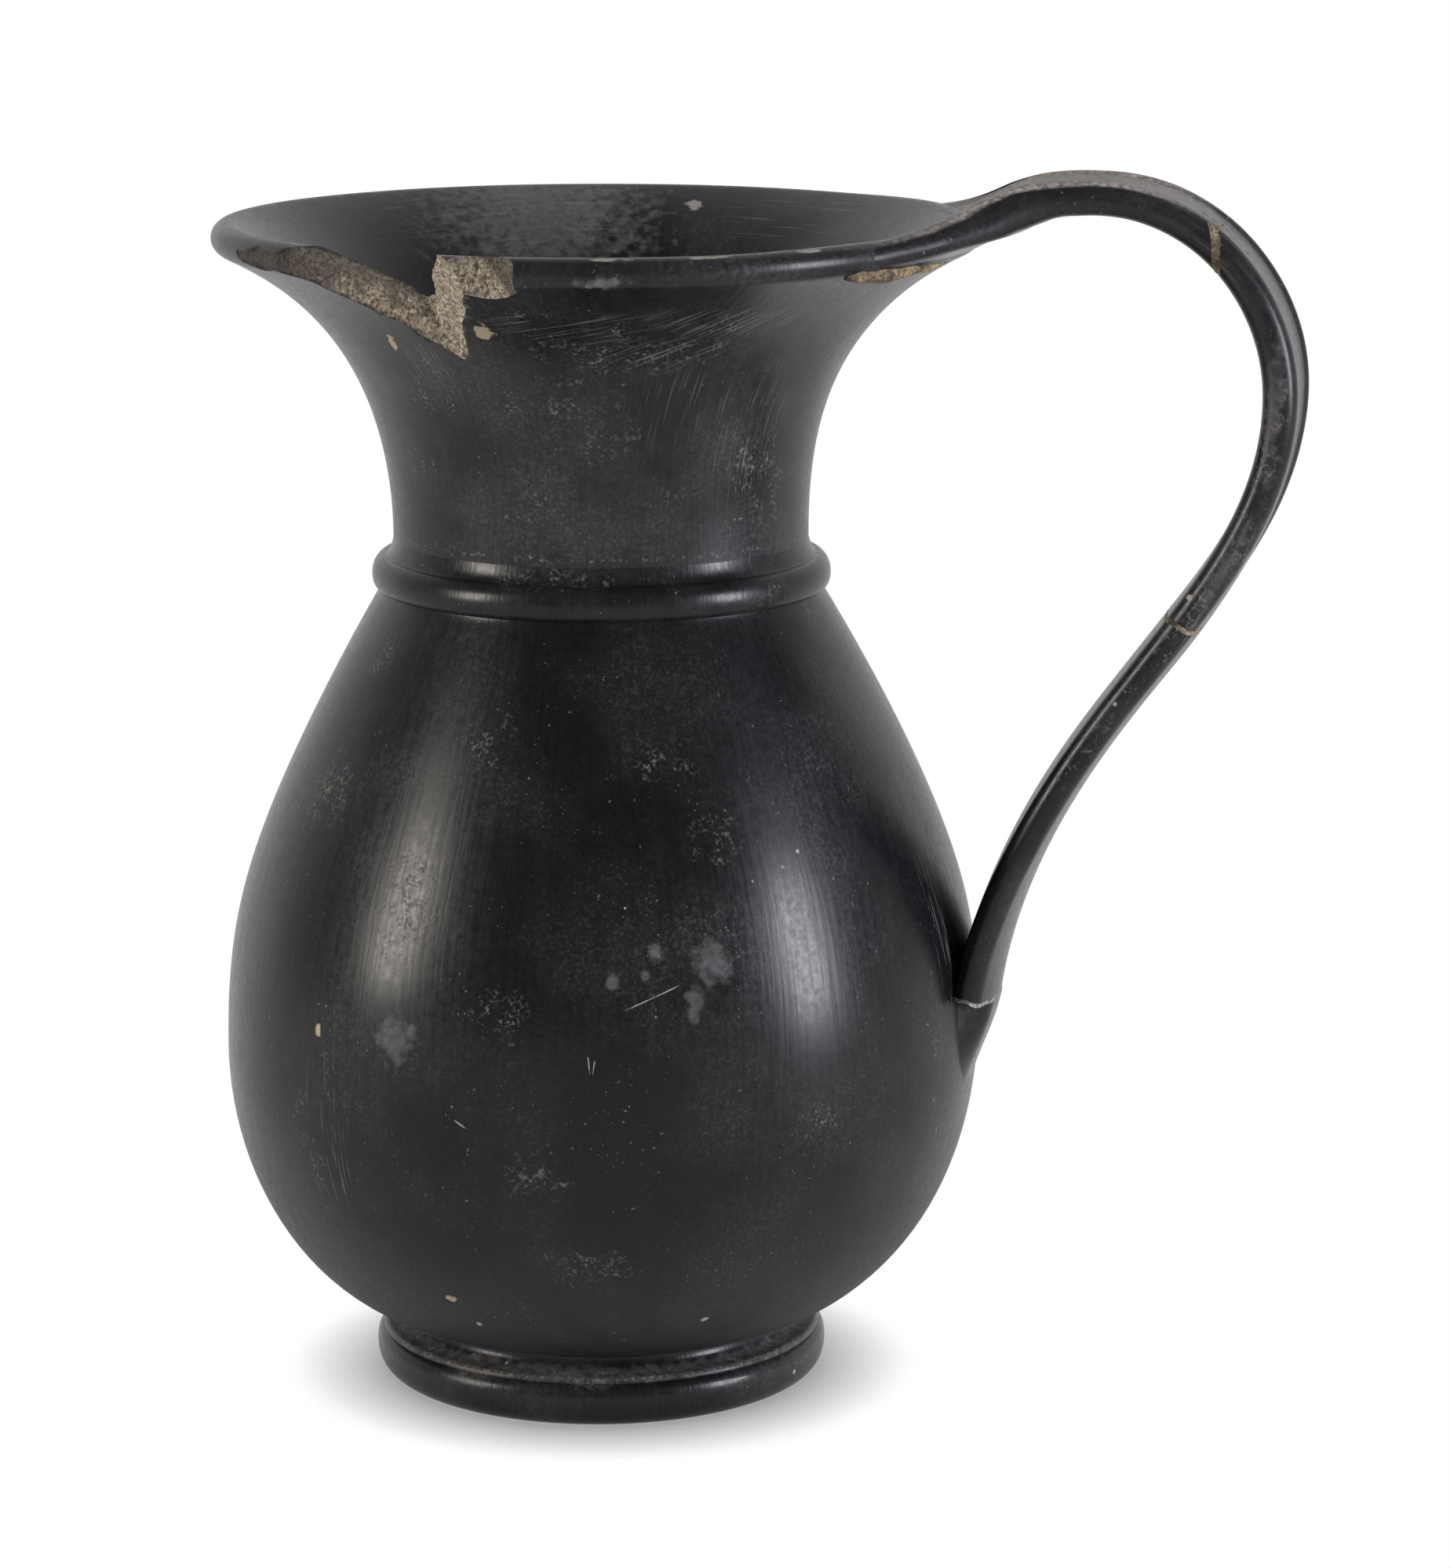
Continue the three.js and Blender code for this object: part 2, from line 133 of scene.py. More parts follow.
# Hand-made unevenness: a wobble all over, a lean of the shoulder and a rise of the lip to the handle
WOBBLE = 0.35
WOBBLE_SPAN = 38
LEAN = 0.95
LEAN_HEIGHT = 120
LEAN_SPAN = 75
LEAN_FROM = (0, 20)
LEAN_TO = (215, 170)
LIP_RISE = 0.6
LIP_RISE_FROM = (35, 62)
LIP_RISE_TO = (95, 78)
LIP_RISE_UP = (200, 225)

# Strap handle
STRAP_WIDTH = 27.5
STRAP_EDGES = [(-4, 2.5), (0, 2.6), (12, 3.5), (24, 3.25), (35, 3.1), (85, 3.3), (150, 2.85), (260, 2.9)]
STRAP_BULGE = 0.8
STRAP_TROUGH = 0.8
STRAP_TROUGH_EASE = 4
STRAP_FULL = (95, 140)
STRAP_GROOVE = 0.4
STRAP_GROOVE_IN = 5
STRAP_GROOVE_HALF = 0.8
STRAP_RIM_SPREAD = 110
STRAP_SPREAD_LENGTH = 60
STRAP_EDGE_STRETCH = 3.5
STRAP_DRAPE_LENGTH = 40
STRAP_HUG_LENGTH = 30
STRAP_START = -3
STRAP_STEP = 0.7
STRAP_EASED_STEPS = 1.7
STRAP_WEB = 0.3
STRAP_WEB_FROM = (5, 12)
STRAP_WEB_TO = (24, 15)
STRAP_ROLL = 0.7
STRAP_ROLL_FROM = (8, 20)
STRAP_ROLL_TO = (90, 60)
STRAP_GIRTH = 66
STRAP_RISE = math.radians(26.5)
STRAP_RISE_PULL = 12.8
CROWN_OUT = 26
CROWN_RISE = 7
CROWN = Vector((LIP_MIDDLE.x + CROWN_OUT, RIM_HEIGHT + CROWN_RISE))
CROWN_PULL_IN = 14.5
CROWN_PULL_OUT = 18.6
OUTERMOST_RADIUS = 131.4
OUTERMOST_DROP = 29.7
OUTERMOST = Vector((OUTERMOST_RADIUS, RIM_HEIGHT - OUTERMOST_DROP))
OUTERMOST_PULL_UP = 21.1
OUTERMOST_PULL_DOWN = 39.1
ROOT_HEIGHT = 80
ROOT_LEAN = math.radians(82.3)
ROOT_PULL = 51.9
ROOT_SEAT = 2.6
STUMP_LENGTH = 28
STUMP_SKIRT = (3, 14)
STUMP_EASE = 18
STUMP_DEEP = 2.5
STUMP_SHOULDER = 9
STUMP_BORDER = 0.1

# Photograph's view: the camera stands to the handle's side of the front
VIEW_AZIMUTH = math.radians(13)
CAMERA_DISTANCE = 989.4
CAMERA_HEIGHT = 324.9
CAMERA_PITCH = 0.2077
CAMERA_YAW = 0.0247
FOCAL_PIXELS = 6647.1
PHOTO_HEIGHT = 1998
SENSOR = 36


# Outlines and places

def away(start, distance, angle):
    """The point at a distance and an angle from another."""
    return Vector((start[0] + distance * math.cos(angle), start[1] + distance * math.sin(angle)))


def curve(*knots, steps=CURVE_STEPS):
    """Points along the smooth curve that its knots pull, without the first."""
    points = []
    for step in range(1, steps + 1):
        row = [Vector(knot) for knot in knots]
        while len(row) > 1:
            row = [a.lerp(b, step / steps) for a, b in zip(row, row[1:])]
        points.append(row[0])
    return points


def arc(middle, radius, start, end, steps=CURVE_STEPS):
    """Points along an arc, without the first."""
    return [away(middle, radius, start + (end - start) * step / steps) for step in range(1, steps + 1)]


def smooth(low, high, value):
    """0 at low, 1 at high and an easy passage between them."""
    share = min(1, max(0, (value - low) / (high - low)))
    return share * share * (3 - 2 * share)


def between(stations, place):
    """The value at a place, straight between the stations on either side of it."""
    for (low, a), (high, b) in zip(stations, stations[1:]):
        if place <= high:
            return a + (b - a) * max(0, place - low) / (high - low)
    return stations[-1][1]


def by_hand(x, y, z, lean=LEAN):
    """Where a point of the true form lies on the hand-made one, in metres in the frame."""
    swell = 1 + WOBBLE * noise.noise(Vector((x, y, z)) / WOBBLE_SPAN) / BELLY_RADIUS
    bell = math.exp(-(((z - LEAN_HEIGHT) / LEAN_SPAN) ** 2))
    push = lean * bell * smooth(*LEAN_FROM, z) * smooth(*LEAN_TO, z)
    lift = LIP_RISE * smooth(*LIP_RISE_FROM, x) * smooth(*LIP_RISE_TO, x) * smooth(*LIP_RISE_UP, z)
    x = x * swell + push * math.cos(VIEW_AZIMUTH)
    y = y * swell + push * math.sin(VIEW_AZIMUTH)
    return Vector((AXIS + x * MM, y * MM, (z + lift) * MM))


def around(azimuth, radius, height):
    """The place at an azimuth in degrees, a radius and a height, in metres in the frame."""
    angle = math.radians(azimuth)
    return by_hand(radius * math.cos(angle), radius * math.sin(angle), height)


# Modelling

def begin(name):
    """Names the primitive that was just added."""
    piece = bpy.context.object
    piece.name = piece.data.name = name
    return piece


def close_up(piece):
    """Merges seams and poles, closes open ends and turns the faces outward."""
    bpy.ops.object.mode_set(mode="EDIT")
    bpy.ops.mesh.select_all(action="SELECT")
    bpy.ops.mesh.remove_doubles(threshold=MERGED * MM)
    bpy.ops.mesh.delete_loose(use_verts=True, use_edges=True, use_faces=False)
    bpy.ops.mesh.select_all(action="SELECT")
    bpy.ops.mesh.fill_holes(sides=0)
    bpy.ops.mesh.select_all(action="SELECT")
    bpy.ops.mesh.normals_make_consistent(inside=False)
    bpy.ops.object.mode_set(mode="OBJECT")
    bpy.ops.object.shade_smooth_by_angle(angle=CREASE)
    return piece


UNROLLED_RADIUS = 60


def unroll(piece):
    """A map of the piece's side, in metres: along the circle of a mean radius, and up."""
    flat = piece.data.uv_layers.new(name="side")
    for face in piece.data.polygons:
        seam = math.atan2(face.center.y, face.center.x - AXIS)
        for loop in face.loop_indices:
            spot = piece.data.vertices[piece.data.loops[loop].vertex_index].co
            turn = math.atan2(spot.y, spot.x - AXIS) - seam
            turn = (turn + math.pi) % (2 * math.pi) - math.pi
            flat.data[loop].uv = ((seam + turn) * UNROLLED_RADIUS * MM, spot.z)


def turned(name, outline):
    """A piece turned about the vessel's axis from a closed outline of (radius, height) points."""
    bpy.ops.object.select_all(action="DESELECT")
    bpy.ops.mesh.primitive_circle_add(vertices=len(outline), calc_uvs=False)
    piece = begin(name)
    for vertex, (radius, height) in zip(piece.data.vertices, outline):
        vertex.co = (radius * MM, 0, height * MM)
    bpy.ops.object.mode_set(mode="EDIT")
    bpy.ops.mesh.select_all(action="SELECT")
    bpy.ops.mesh.spin(steps=ROUND_STEPS, angle=2 * math.pi, center=(0, 0, 0), axis=(0, 0, 1))
    bpy.ops.object.mode_set(mode="OBJECT")
    for vertex in piece.data.vertices:
        vertex.co = by_hand(*(vertex.co / MM))
    close_up(piece)
    unroll(piece)
    return piece


def clear_slivers():
    """Splits the many-sided faces along a cut and takes out those without area."""
    bpy.ops.object.mode_set(mode="EDIT")
    bpy.ops.mesh.select_all(action="DESELECT")
    bpy.ops.mesh.select_face_by_sides(number=4, type="GREATER")
    bpy.ops.mesh.quads_convert_to_tris()
    bpy.ops.mesh.select_all(action="SELECT")
    bpy.ops.mesh.dissolve_degenerate(threshold=MERGED * MM)
    bpy.ops.object.mode_set(mode="OBJECT")


def cut(piece, *tools):
    """Takes the tools' shapes out of a piece; the cut faces take the tools' material."""
    bpy.context.view_layer.objects.active = piece
    for tool in tools:
        modifier = piece.modifiers.new("cut", "BOOLEAN")
        modifier.operation = "DIFFERENCE"
        modifier.solver = "EXACT"
        modifier.material_mode = "TRANSFER"
        modifier.object = tool
        bpy.ops.object.modifier_apply(modifier=modifier.name)
        bpy.data.objects.remove(tool)
    bpy.ops.object.select_all(action="DESELECT")
    piece.select_set(True)
    clear_slivers()
    bpy.ops.object.shade_smooth_by_angle(angle=CREASE)


def measure_skin(piece):
    """Notes how deep the broken faces lie under the old surface, in millimetres."""
    faces = piece.data.polygons
    old = {spot for face in faces if face.material_index == 0 for spot in face.vertices}
    broken = {spot for face in faces if face.material_index > 0 for spot in face.vertices}
    edge = old & broken
    nearest = kdtree.KDTree(len(edge))
    for spot in edge:
        nearest.insert(piece.data.vertices[spot].co, spot)
    nearest.balance()
    depth = piece.data.attributes.new("depth", "FLOAT", "POINT")
    for spot in broken:
        depth.data[spot].value = nearest.find(piece.data.vertices[spot].co)[2] / MM


def foot_ring():
    """The ring foot: a round bulge, a groove and a ridge above it, and a ledge that runs in to the belly."""
    ridge = Vector((FOOT_RIDGE_RADIUS - FOOT_RIDGE_ROUND, FOOT_RIDGE_HEIGHT - FOOT_RIDGE_ROUND))
    groove = Vector((FOOT_RIDGE_RADIUS - FOOT_GROOVE_DEPTH, FOOT_GROOVE_HEIGHT))
    bulge = Vector((FOOT_RADIUS, FOOT_BULGE_HEIGHT))
    rest = Vector((FOOT_REST_RADIUS, 0))
    ledge = Vector((ridge.x, FOOT_RIDGE_HEIGHT))
    crease = Vector((FOOT_CREASE_RADIUS, BELLY_BOTTOM + FOOT_SEAT))
    outline = [Vector((FOOT_REST_RADIUS - FOOT_REST_WIDTH, 0)), rest]
    outline += curve(rest, (FOOT_RADIUS, 0), bulge)
    outline += curve(bulge, (FOOT_RADIUS, FOOT_GROOVE_HEIGHT - FOOT_GROOVE_PULL), groove, steps=12)
    outline += arc(ridge, FOOT_RIDGE_ROUND, FOOT_RIDGE_START, math.pi / 2, steps=12)
    outline += curve(ledge, (FOOT_CREASE_RADIUS, FOOT_RIDGE_HEIGHT), crease, steps=16)
    outline += [Vector((FOOT_REST_RADIUS - FOOT_REST_WIDTH - FOOT_HOLLOW_SLOPE, crease.y))]
    return turned("foot_ring_clay", outline)


def belly_side(base, wide, shoulder):
    """Knots of a side of the belly: from its base to its widest place, and from there to the shoulder."""
    lower = base, away(base, BASE_PULL, BASE_RISE), wide - Vector((0, BELLY_PULL_DOWN)), wide
    over = away(shoulder, SHOULDER_PULL, -SHOULDER_SLOPE)
    return lower, (wide, wide + Vector((0, BELLY_PULL_UP)), over, shoulder)


OUTER_BELLY = belly_side(
    Vector((BASE_RADIUS, BELLY_BOTTOM)), Vector((BELLY_RADIUS, BELLY_HEIGHT)),
    Vector((SHOULDER_RADIUS, SHOULDER_HEIGHT)))


def belly():
    """The hollow belly: a floor, a round side and a shoulder that is open to the neck."""
    lower, upper = OUTER_BELLY
    shoulder = upper[-1]
    bore = Vector((NECK_RADIUS - WALL, SHOULDER_HEIGHT))
    bottom = Vector((BASE_RADIUS - WALL / 2, BELLY_BOTTOM + FLOOR))
    inner_lower, inner_upper = belly_side(bottom, Vector((BELLY_RADIUS - WALL, BELLY_HEIGHT)), bore)
    turn_in = away(shoulder, SHOULDER_LIP_PULL, math.pi - SHOULDER_SLOPE)
    outline = [Vector((0, BELLY_BOTTOM)), lower[0]]
    outline += curve(*lower)
    outline += curve(*upper, steps=40)
    outline += curve(shoulder, turn_in, SHOULDER_LIP, steps=6)
    outline += [bore]
    outline += curve(*reversed(inner_upper))
    outline += curve(*reversed(inner_lower))
    outline += [Vector((0, bottom.y))]
    return turned("belly_clay", outline)


def cordon():
    """The moulding around the foot of the neck: its bead and the slope above it."""
    wide = Vector((CORDON_RADIUS, BEAD_MIDDLE))
    top = Vector((NECK_RADIUS - SLOPE_SINK, SLOPE_TOP))
    outline = [Vector((NECK_RADIUS - CORDON_SINK, BEAD_BOTTOM.y)), BEAD_BOTTOM]
    outline += curve(BEAD_BOTTOM, (CORDON_RADIUS, BEAD_BOTTOM.y + BEAD_PULL_LOW), wide, steps=14)
    over = (CORDON_RADIUS, BEAD_TOP.y - BEAD_PULL_HIGH)
    outline += curve(wide, over, BEAD_TOP + BEAD_PULL_TOP, BEAD_TOP, steps=18)
    outline += curve(BEAD_TOP, (NECK_RADIUS + SLOPE_PULL[0], BEAD_TOP.y + SLOPE_PULL[1]), top, steps=14)
    outline += [Vector((NECK_RADIUS - CORDON_SINK, SLOPE_TOP))]
    return turned("cordon_clay", outline)


def neck_and_mouth():
    """The hollow neck, which opens into the mouth and ends in a round lip."""
    flare = Vector((0, FLARE_PULL))
    outer = Vector((NECK_RADIUS, FLARE_HEIGHT))
    inner = Vector((NECK_RADIUS - WALL, FLARE_HEIGHT))
    under = away(LIP_MIDDLE, LIP_ROUND, MOUTH_SLOPE - math.pi / 2)
    over = away(LIP_MIDDLE, LIP_ROUND, MOUTH_SLOPE + math.pi / 2)
    back = MOUTH_SLOPE + math.pi
    outline = [Vector((NECK_RADIUS, NECK_BOTTOM)), outer]
    outline += curve(outer, outer + flare, away(under, MOUTH_PULL, back), under, steps=40)
    outline += arc(LIP_MIDDLE, LIP_ROUND, MOUTH_SLOPE - math.pi / 2, MOUTH_SLOPE + math.pi / 2, steps=16)
    outline += curve(over, away(over, MOUTH_PULL, back), inner + flare, inner, steps=40)
    outline += [Vector((NECK_RADIUS - WALL, NECK_BOTTOM))]
    return turned("neck_and_mouth_clay", outline)


# Breaks in the rim

GRAIN = 0.2
GRAIN_SPAN = 1.4
GRAIN_LAYERS = (0.7, 2, 3)
RAGGED = 1.1
RAGGED_SPAN = 8
SHEET_STEPS = (170, 60)


def ragged(point):
    """How far a broken face stands out at a place: a slow unevenness and the clay's own grain."""
    slow = RAGGED * noise.noise(point / RAGGED_SPAN)
    return slow + GRAIN * noise.fractal(point / GRAIN_SPAN, *GRAIN_LAYERS)


def outward_frame(azimuth):
    """Directions outward and sideways at an azimuth."""
    outward = Vector((math.cos(azimuth), math.sin(azimuth), 0))
    return outward, Vector((-outward.y, outward.x, 0))


def broken_sheet(name, material, place, sweep):
    """A ragged sheet, laid by place(along, up), swept into a closed block that takes the lost piece away."""
    bpy.ops.object.select_all(action="DESELECT")
    columns, rows = SHEET_STEPS
    bpy.ops.mesh.primitive_grid_add(x_subdivisions=columns, y_subdivisions=rows, calc_uvs=False)
    sheet = begin(name)
    for vertex in sheet.data.vertices:
        point, facing = place((vertex.co.x + 1) / 2, (vertex.co.y + 1) / 2)
        x, y, z = point + facing * ragged(point)
        vertex.co = (AXIS + x * MM, y * MM, z * MM)
    bpy.ops.object.mode_set(mode="EDIT")
    bpy.ops.mesh.select_all(action="SELECT")
    bpy.ops.mesh.extrude_region_move(TRANSFORM_OT_translate={"value": Vector(sweep) * MM})
    bpy.ops.mesh.select_all(action="SELECT")
    bpy.ops.mesh.normals_make_consistent(inside=False)
    bpy.ops.object.mode_set(mode="OBJECT")
    sheet.data.materials.append(material)
    return sheet


SHARD_AZIMUTH = math.radians(-88)
SHARD_REACH = 49.2
SHARD_BOW = 0.0033
SHARD_BOW_FROM = -20
CHIP_DEPTH = 2.2
CHIP_END = -58
CHIP_EASE = 7
CHIP_CLEAR = 2
CHIP_CLEAR_EASE = 5
SHARD_FAR = -108
SHARD_STEPS = 90
SHARD_END = Vector((50.2, -13.6))
SHARD_CORNER = 3
SHARD_CORNER_PULL = 0.4
SHARD_END_RUN = 45
SHARD_END_TURN = 0.69
SHARD_END_LEAN = 0.6
SHARD_END_LEAN_OVER = (-26, -14)
SHARD_LEAN = 0.3
SHARD_LEAN_OVER = (-56, -40)
SHARD_LEAN_LOSS = 0.6
SHARD_LEAN_LOSS_OVER = (-20, -12)
SHARD_LOW = 196
SHARD_FOOT = 206
SHARD_HIGH = 240
SHARD_SWEEP = (60, -45)


def shard_path():
    """Plan of the large shard's break, outward and sideways: a long bowed side that runs out in a shallow
    chip along the lip, and a short slanted end."""
    path = []
    corner = SHARD_END.y - SHARD_CORNER
    for step in range(SHARD_STEPS + 1):
        side = SHARD_FAR + (corner - SHARD_FAR) * step / SHARD_STEPS
        bowed = SHARD_REACH + SHARD_BOW * min(0, side - SHARD_BOW_FROM) ** 2
        rim = math.sqrt(max(0, MOUTH_RADIUS ** 2 - side ** 2))
        chipped = rim - CHIP_DEPTH * smooth(CHIP_END, CHIP_END + CHIP_EASE, side)
        chipped += CHIP_CLEAR * smooth(CHIP_END, CHIP_END - CHIP_CLEAR_EASE, side)
        path.append(Vector((min(bowed, chipped), side)))
    leave = SHARD_END + Vector((1, SHARD_END_TURN)) * SHARD_CORNER
    path += curve(path[-1], (SHARD_REACH, SHARD_END.y - SHARD_CORNER_PULL), leave, steps=16)
    path += [leave + Vector((1, SHARD_END_TURN)) * step for step in range(1, SHARD_END_RUN + 1)]
    return path


def lost_shard(material):
    """The large shard broken from the rim, whose end face leans with the wall."""
    outward, sideways = outward_frame(SHARD_AZIMUTH)
    path = shard_path()

    def place(along, up):
        spot = along * (len(path) - 1)
        low = min(int(spot), len(path) - 2)
        here = path[low].lerp(path[low + 1], spot - low)
        run = (path[low + 1] - path[low]).normalized()
        height = SHARD_LOW + (SHARD_HIGH - SHARD_LOW) * up
        lean = SHARD_END_LEAN * (height - SHARD_FOOT) * smooth(*SHARD_END_LEAN_OVER, here.y)
        tilt = SHARD_LEAN * (height - SHARD_FOOT) * smooth(*SHARD_LEAN_OVER, here.y)
        tilt *= 1 - SHARD_LEAN_LOSS * smooth(*SHARD_LEAN_LOSS_OVER, here.y)
        point = outward * (here.x + tilt) + sideways * (here.y - lean)
        facing = outward * run.y - sideways * run.x
        return point + Vector((0, 0, height)), facing

    sweep = outward * SHARD_SWEEP[0] + sideways * SHARD_SWEEP[1]
    return broken_sheet("lost_shard", material, place, sweep)


SPALL_AZIMUTH = math.radians(-94)
SPALL_WIDTH = 13.6
SPALL_TOP = 69.7
SPALL_LEAN = 0.3
SPALL_HOLLOW = 0.05
SPALL_TALL = 16
SPALL_ABOVE = 4
SPALL_SWEEP = 25


def lost_spall(material):
    """The small spall beside it, flaked off the outer side of the lip."""
    outward, sideways = outward_frame(SPALL_AZIMUTH)
    facing = (outward - Vector((0, 0, SPALL_LEAN))).normalized()

    def place(along, up):
        drop = SPALL_TALL * (1 - up) - SPALL_ABOVE
        across = (along - 0.5) * SPALL_WIDTH
        hollow = SPALL_HOLLOW * across * across
        point = outward * (SPALL_TOP - SPALL_LEAN * drop + hollow) + sideways * across
        return point + Vector((0, 0, RIM_HEIGHT - drop)), facing

    return broken_sheet("lost_spall", material, place, outward * SPALL_SWEEP)


# Strap handle

def belly_radius(height):
    """Radius of the belly's outer side at a height."""
    lower, upper = OUTER_BELLY
    side = curve(*(lower if height < BELLY_HEIGHT else upper), steps=400)
    return min(side, key=lambda point: abs(point.y - height)).x


def strap_line():
    """Centre line of the strap in the handle's upright plane, and where its root is along it."""
    root = Vector((belly_radius(ROOT_HEIGHT) + ROOT_SEAT, ROOT_HEIGHT))
    sunk_height = ROOT_HEIGHT - STUMP_LENGTH
    sunk = Vector((belly_radius(sunk_height) - ROOT_SEAT, sunk_height))
    third = STUMP_LENGTH / 3
    lift = math.pi / 2
    line = [LIP_MIDDLE.copy()]
    leave = away(LIP_MIDDLE, STRAP_RISE_PULL, STRAP_RISE)
    line += curve(LIP_MIDDLE, leave, away(CROWN, CROWN_PULL_IN, math.pi), CROWN, steps=200)
    over = away(OUTERMOST, OUTERMOST_PULL_UP, lift)
    line += curve(CROWN, away(CROWN, CROWN_PULL_OUT, 0), over, OUTERMOST, steps=200)
    under = away(OUTERMOST, OUTERMOST_PULL_DOWN, -lift)
    line += curve(OUTERMOST, under, away(root, ROOT_PULL, ROOT_LEAN), root, steps=400)
    at_root = len(line) - 1
    line += curve(root, away(root, third, ROOT_LEAN + math.pi), away(sunk, third, lift), sunk, steps=100)
    places = [0]
    for a, b in zip(line, line[1:]):
        places.append(places[-1] + (b - a).length)
    return line, places, places[at_root]


LINE, PLACES, ROOT_PLACE = strap_line()
STRAP_END = PLACES[-1]


def strap_at(place):
    """Point and direction of the centre line at a place; short of the lip's middle it follows the mouth."""
    if place < 0:
        return away(LIP_MIDDLE, place, MOUTH_SLOPE), away((0, 0), 1, MOUTH_SLOPE)
    low, high = 0, len(PLACES) - 2
    while low < high:
        middle = (low + high + 1) // 2
        if PLACES[middle] <= place:
            low = middle
        else:
            high = middle - 1
    run = LINE[low + 1] - LINE[low]
    share = (place - PLACES[low]) / run.length
    return LINE[low] + run * share, run.normalized()


def spread_at(place):
    """Share of the spread along the lip that is left at a place: it leaves the lip without a corner."""
    return (1 - math.sqrt(min(1, max(0, place / STRAP_SPREAD_LENGTH)))) ** 2


def edge_stretch_at(place):
    """How much wider across its edge is where the strap narrows fast, so that it is as round as elsewhere."""
    start = max(place, STRAP_STEP)
    narrowing = (spread_at(start) - spread_at(start + STRAP_STEP)) / STRAP_STEP
    return min(STRAP_EDGE_STRETCH, math.hypot(1, narrowing * (STRAP_RIM_SPREAD - STRAP_WIDTH) / 2))


def drape_at(place):
    """Share of the lip's roundness that the strap still has at a place."""
    return min(1, max(0, 1 - place / STRAP_DRAPE_LENGTH)) ** 2


def hug_at(place):
    """Share of the belly's roundness that the strap has taken up at a place."""
    return min(1, max(0, 1 - (ROOT_PLACE - place) / STRAP_HUG_LENGTH))


def web_at(place):
    """How much deeper the strap's underside is where a web of clay joins it to the lip."""
    return STRAP_WEB * smooth(*STRAP_WEB_FROM, place) * smooth(*STRAP_WEB_TO, place)


def fall_back(radius, across):
    """How far an arc falls back from its crown at a distance across."""
    return radius - math.sqrt(max(0, radius * radius - across * across))


def strap_point(place, across, outward):
    """A point of the strap, by its place along it, across it and out from its centre line."""
    middle, run = strap_at(place)
    drape = drape_at(place) * fall_back(LIP_MIDDLE.x, across)
    drape += hug_at(place) * fall_back(BELLY_RADIUS, across)
    roll = STRAP_ROLL * (across / STRAP_WIDTH + 0.5) * smooth(*STRAP_ROLL_FROM, place)
    roll *= smooth(*STRAP_ROLL_TO, place)
    point = Vector((middle.x - run.y * outward - drape, across, middle.y + run.x * outward - roll))
    return by_hand(*point, lean=0)


EDGE_STEPS = 14
FACE_STEPS = 44
CRUST = 0.2
CRUST_SPAN = 0.9
CRUST_LAYERS = (0.8, 2, 3)
CRUST_COVER = 0.3
CRUST_FROM = (4, 12)
CRUST_TO = (75, 50)
CRUST_EASE = 3


def crust(place, across):
    """Thickness of the earth crusted on the strap's upper side between the lip and the crown."""
    grain = noise.fractal(Vector((place, across, 0)) / CRUST_SPAN, *CRUST_LAYERS)
    return CRUST * max(0, CRUST_COVER + grain) * smooth(*CRUST_TO, place) * smooth(*CRUST_FROM, place)


def strap_section(place):
    """Outline across the strap, as (across, outward) points: round edges, a hollow and two grooves."""
    spread = spread_at(place)
    lower = smooth(*STRAP_FULL, place)
    fade = (1 - lower) * (1 - spread)
    edge = between(STRAP_EDGES, place)
    web = web_at(place)
    turn = edge * edge_stretch_at(place)
    flat = (STRAP_WIDTH + (STRAP_RIM_SPREAD - STRAP_WIDTH) * spread) / 2 - turn
    section = []
    for side in (1, -1):
        for step in range(EDGE_STEPS + 1):
            angle = math.pi * (step / EDGE_STEPS - 0.5)
            outward = side * edge * math.sin(angle)
            outward *= 1 + web if outward < 0 else 1
            section.append((side * (flat + turn * math.cos(angle)), outward))
        for step in range(1, FACE_STEPS):
            share = math.cos(math.pi * step / FACE_STEPS)
            inset = flat * (1 - abs(share)) + turn
            thick = edge + STRAP_BULGE * lower * (1 - share * share)
            if side > 0:
                groove = STRAP_GROOVE * math.exp(-(((inset - STRAP_GROOVE_IN) / STRAP_GROOVE_HALF) ** 2))
                thick -= fade * (STRAP_TROUGH * smooth(turn, turn + STRAP_TROUGH_EASE, inset) + groove)
                thick += crust(place, share * flat) * smooth(turn, turn + CRUST_EASE, inset)
            else:
                thick *= 1 + web
            section.append((side * share * flat, side * thick))
    return section


def loft(name, start, end, steps, section, ease=1):
    """A skin over sections from one end face to the other; each face gives a place for (across, outward)."""
    count = len(section(0))
    bpy.ops.object.select_all(action="DESELECT")
    bpy.ops.mesh.primitive_grid_add(x_subdivisions=count, y_subdivisions=steps, calc_uvs=True)
    piece = begin(name)
    rings = {}
    places = []
    for vertex in piece.data.vertices:
        step = round((vertex.co.y + 1) / 2 * steps)
        share = (step / steps) ** ease
        if step not in rings:
            rings[step] = section(share)
        across, outward = rings[step][round((vertex.co.x + 1) / 2 * count) % count]
        place = start(across, outward) * (1 - share) + end(across, outward) * share
        vertex.co = strap_point(place, across, outward)
        places.append(place)
    for corner, loop in zip(piece.data.uv_layers.active.data, piece.data.loops):
        corner.uv = (corner.uv.x * STRAP_GIRTH * MM, places[loop.vertex_index] * MM)
    return close_up(piece)


BREAK_ROUGH = 0.7
BREAK_ROUGH_SPAN = 2.5
BREAK_NEAR = (-4, -12)


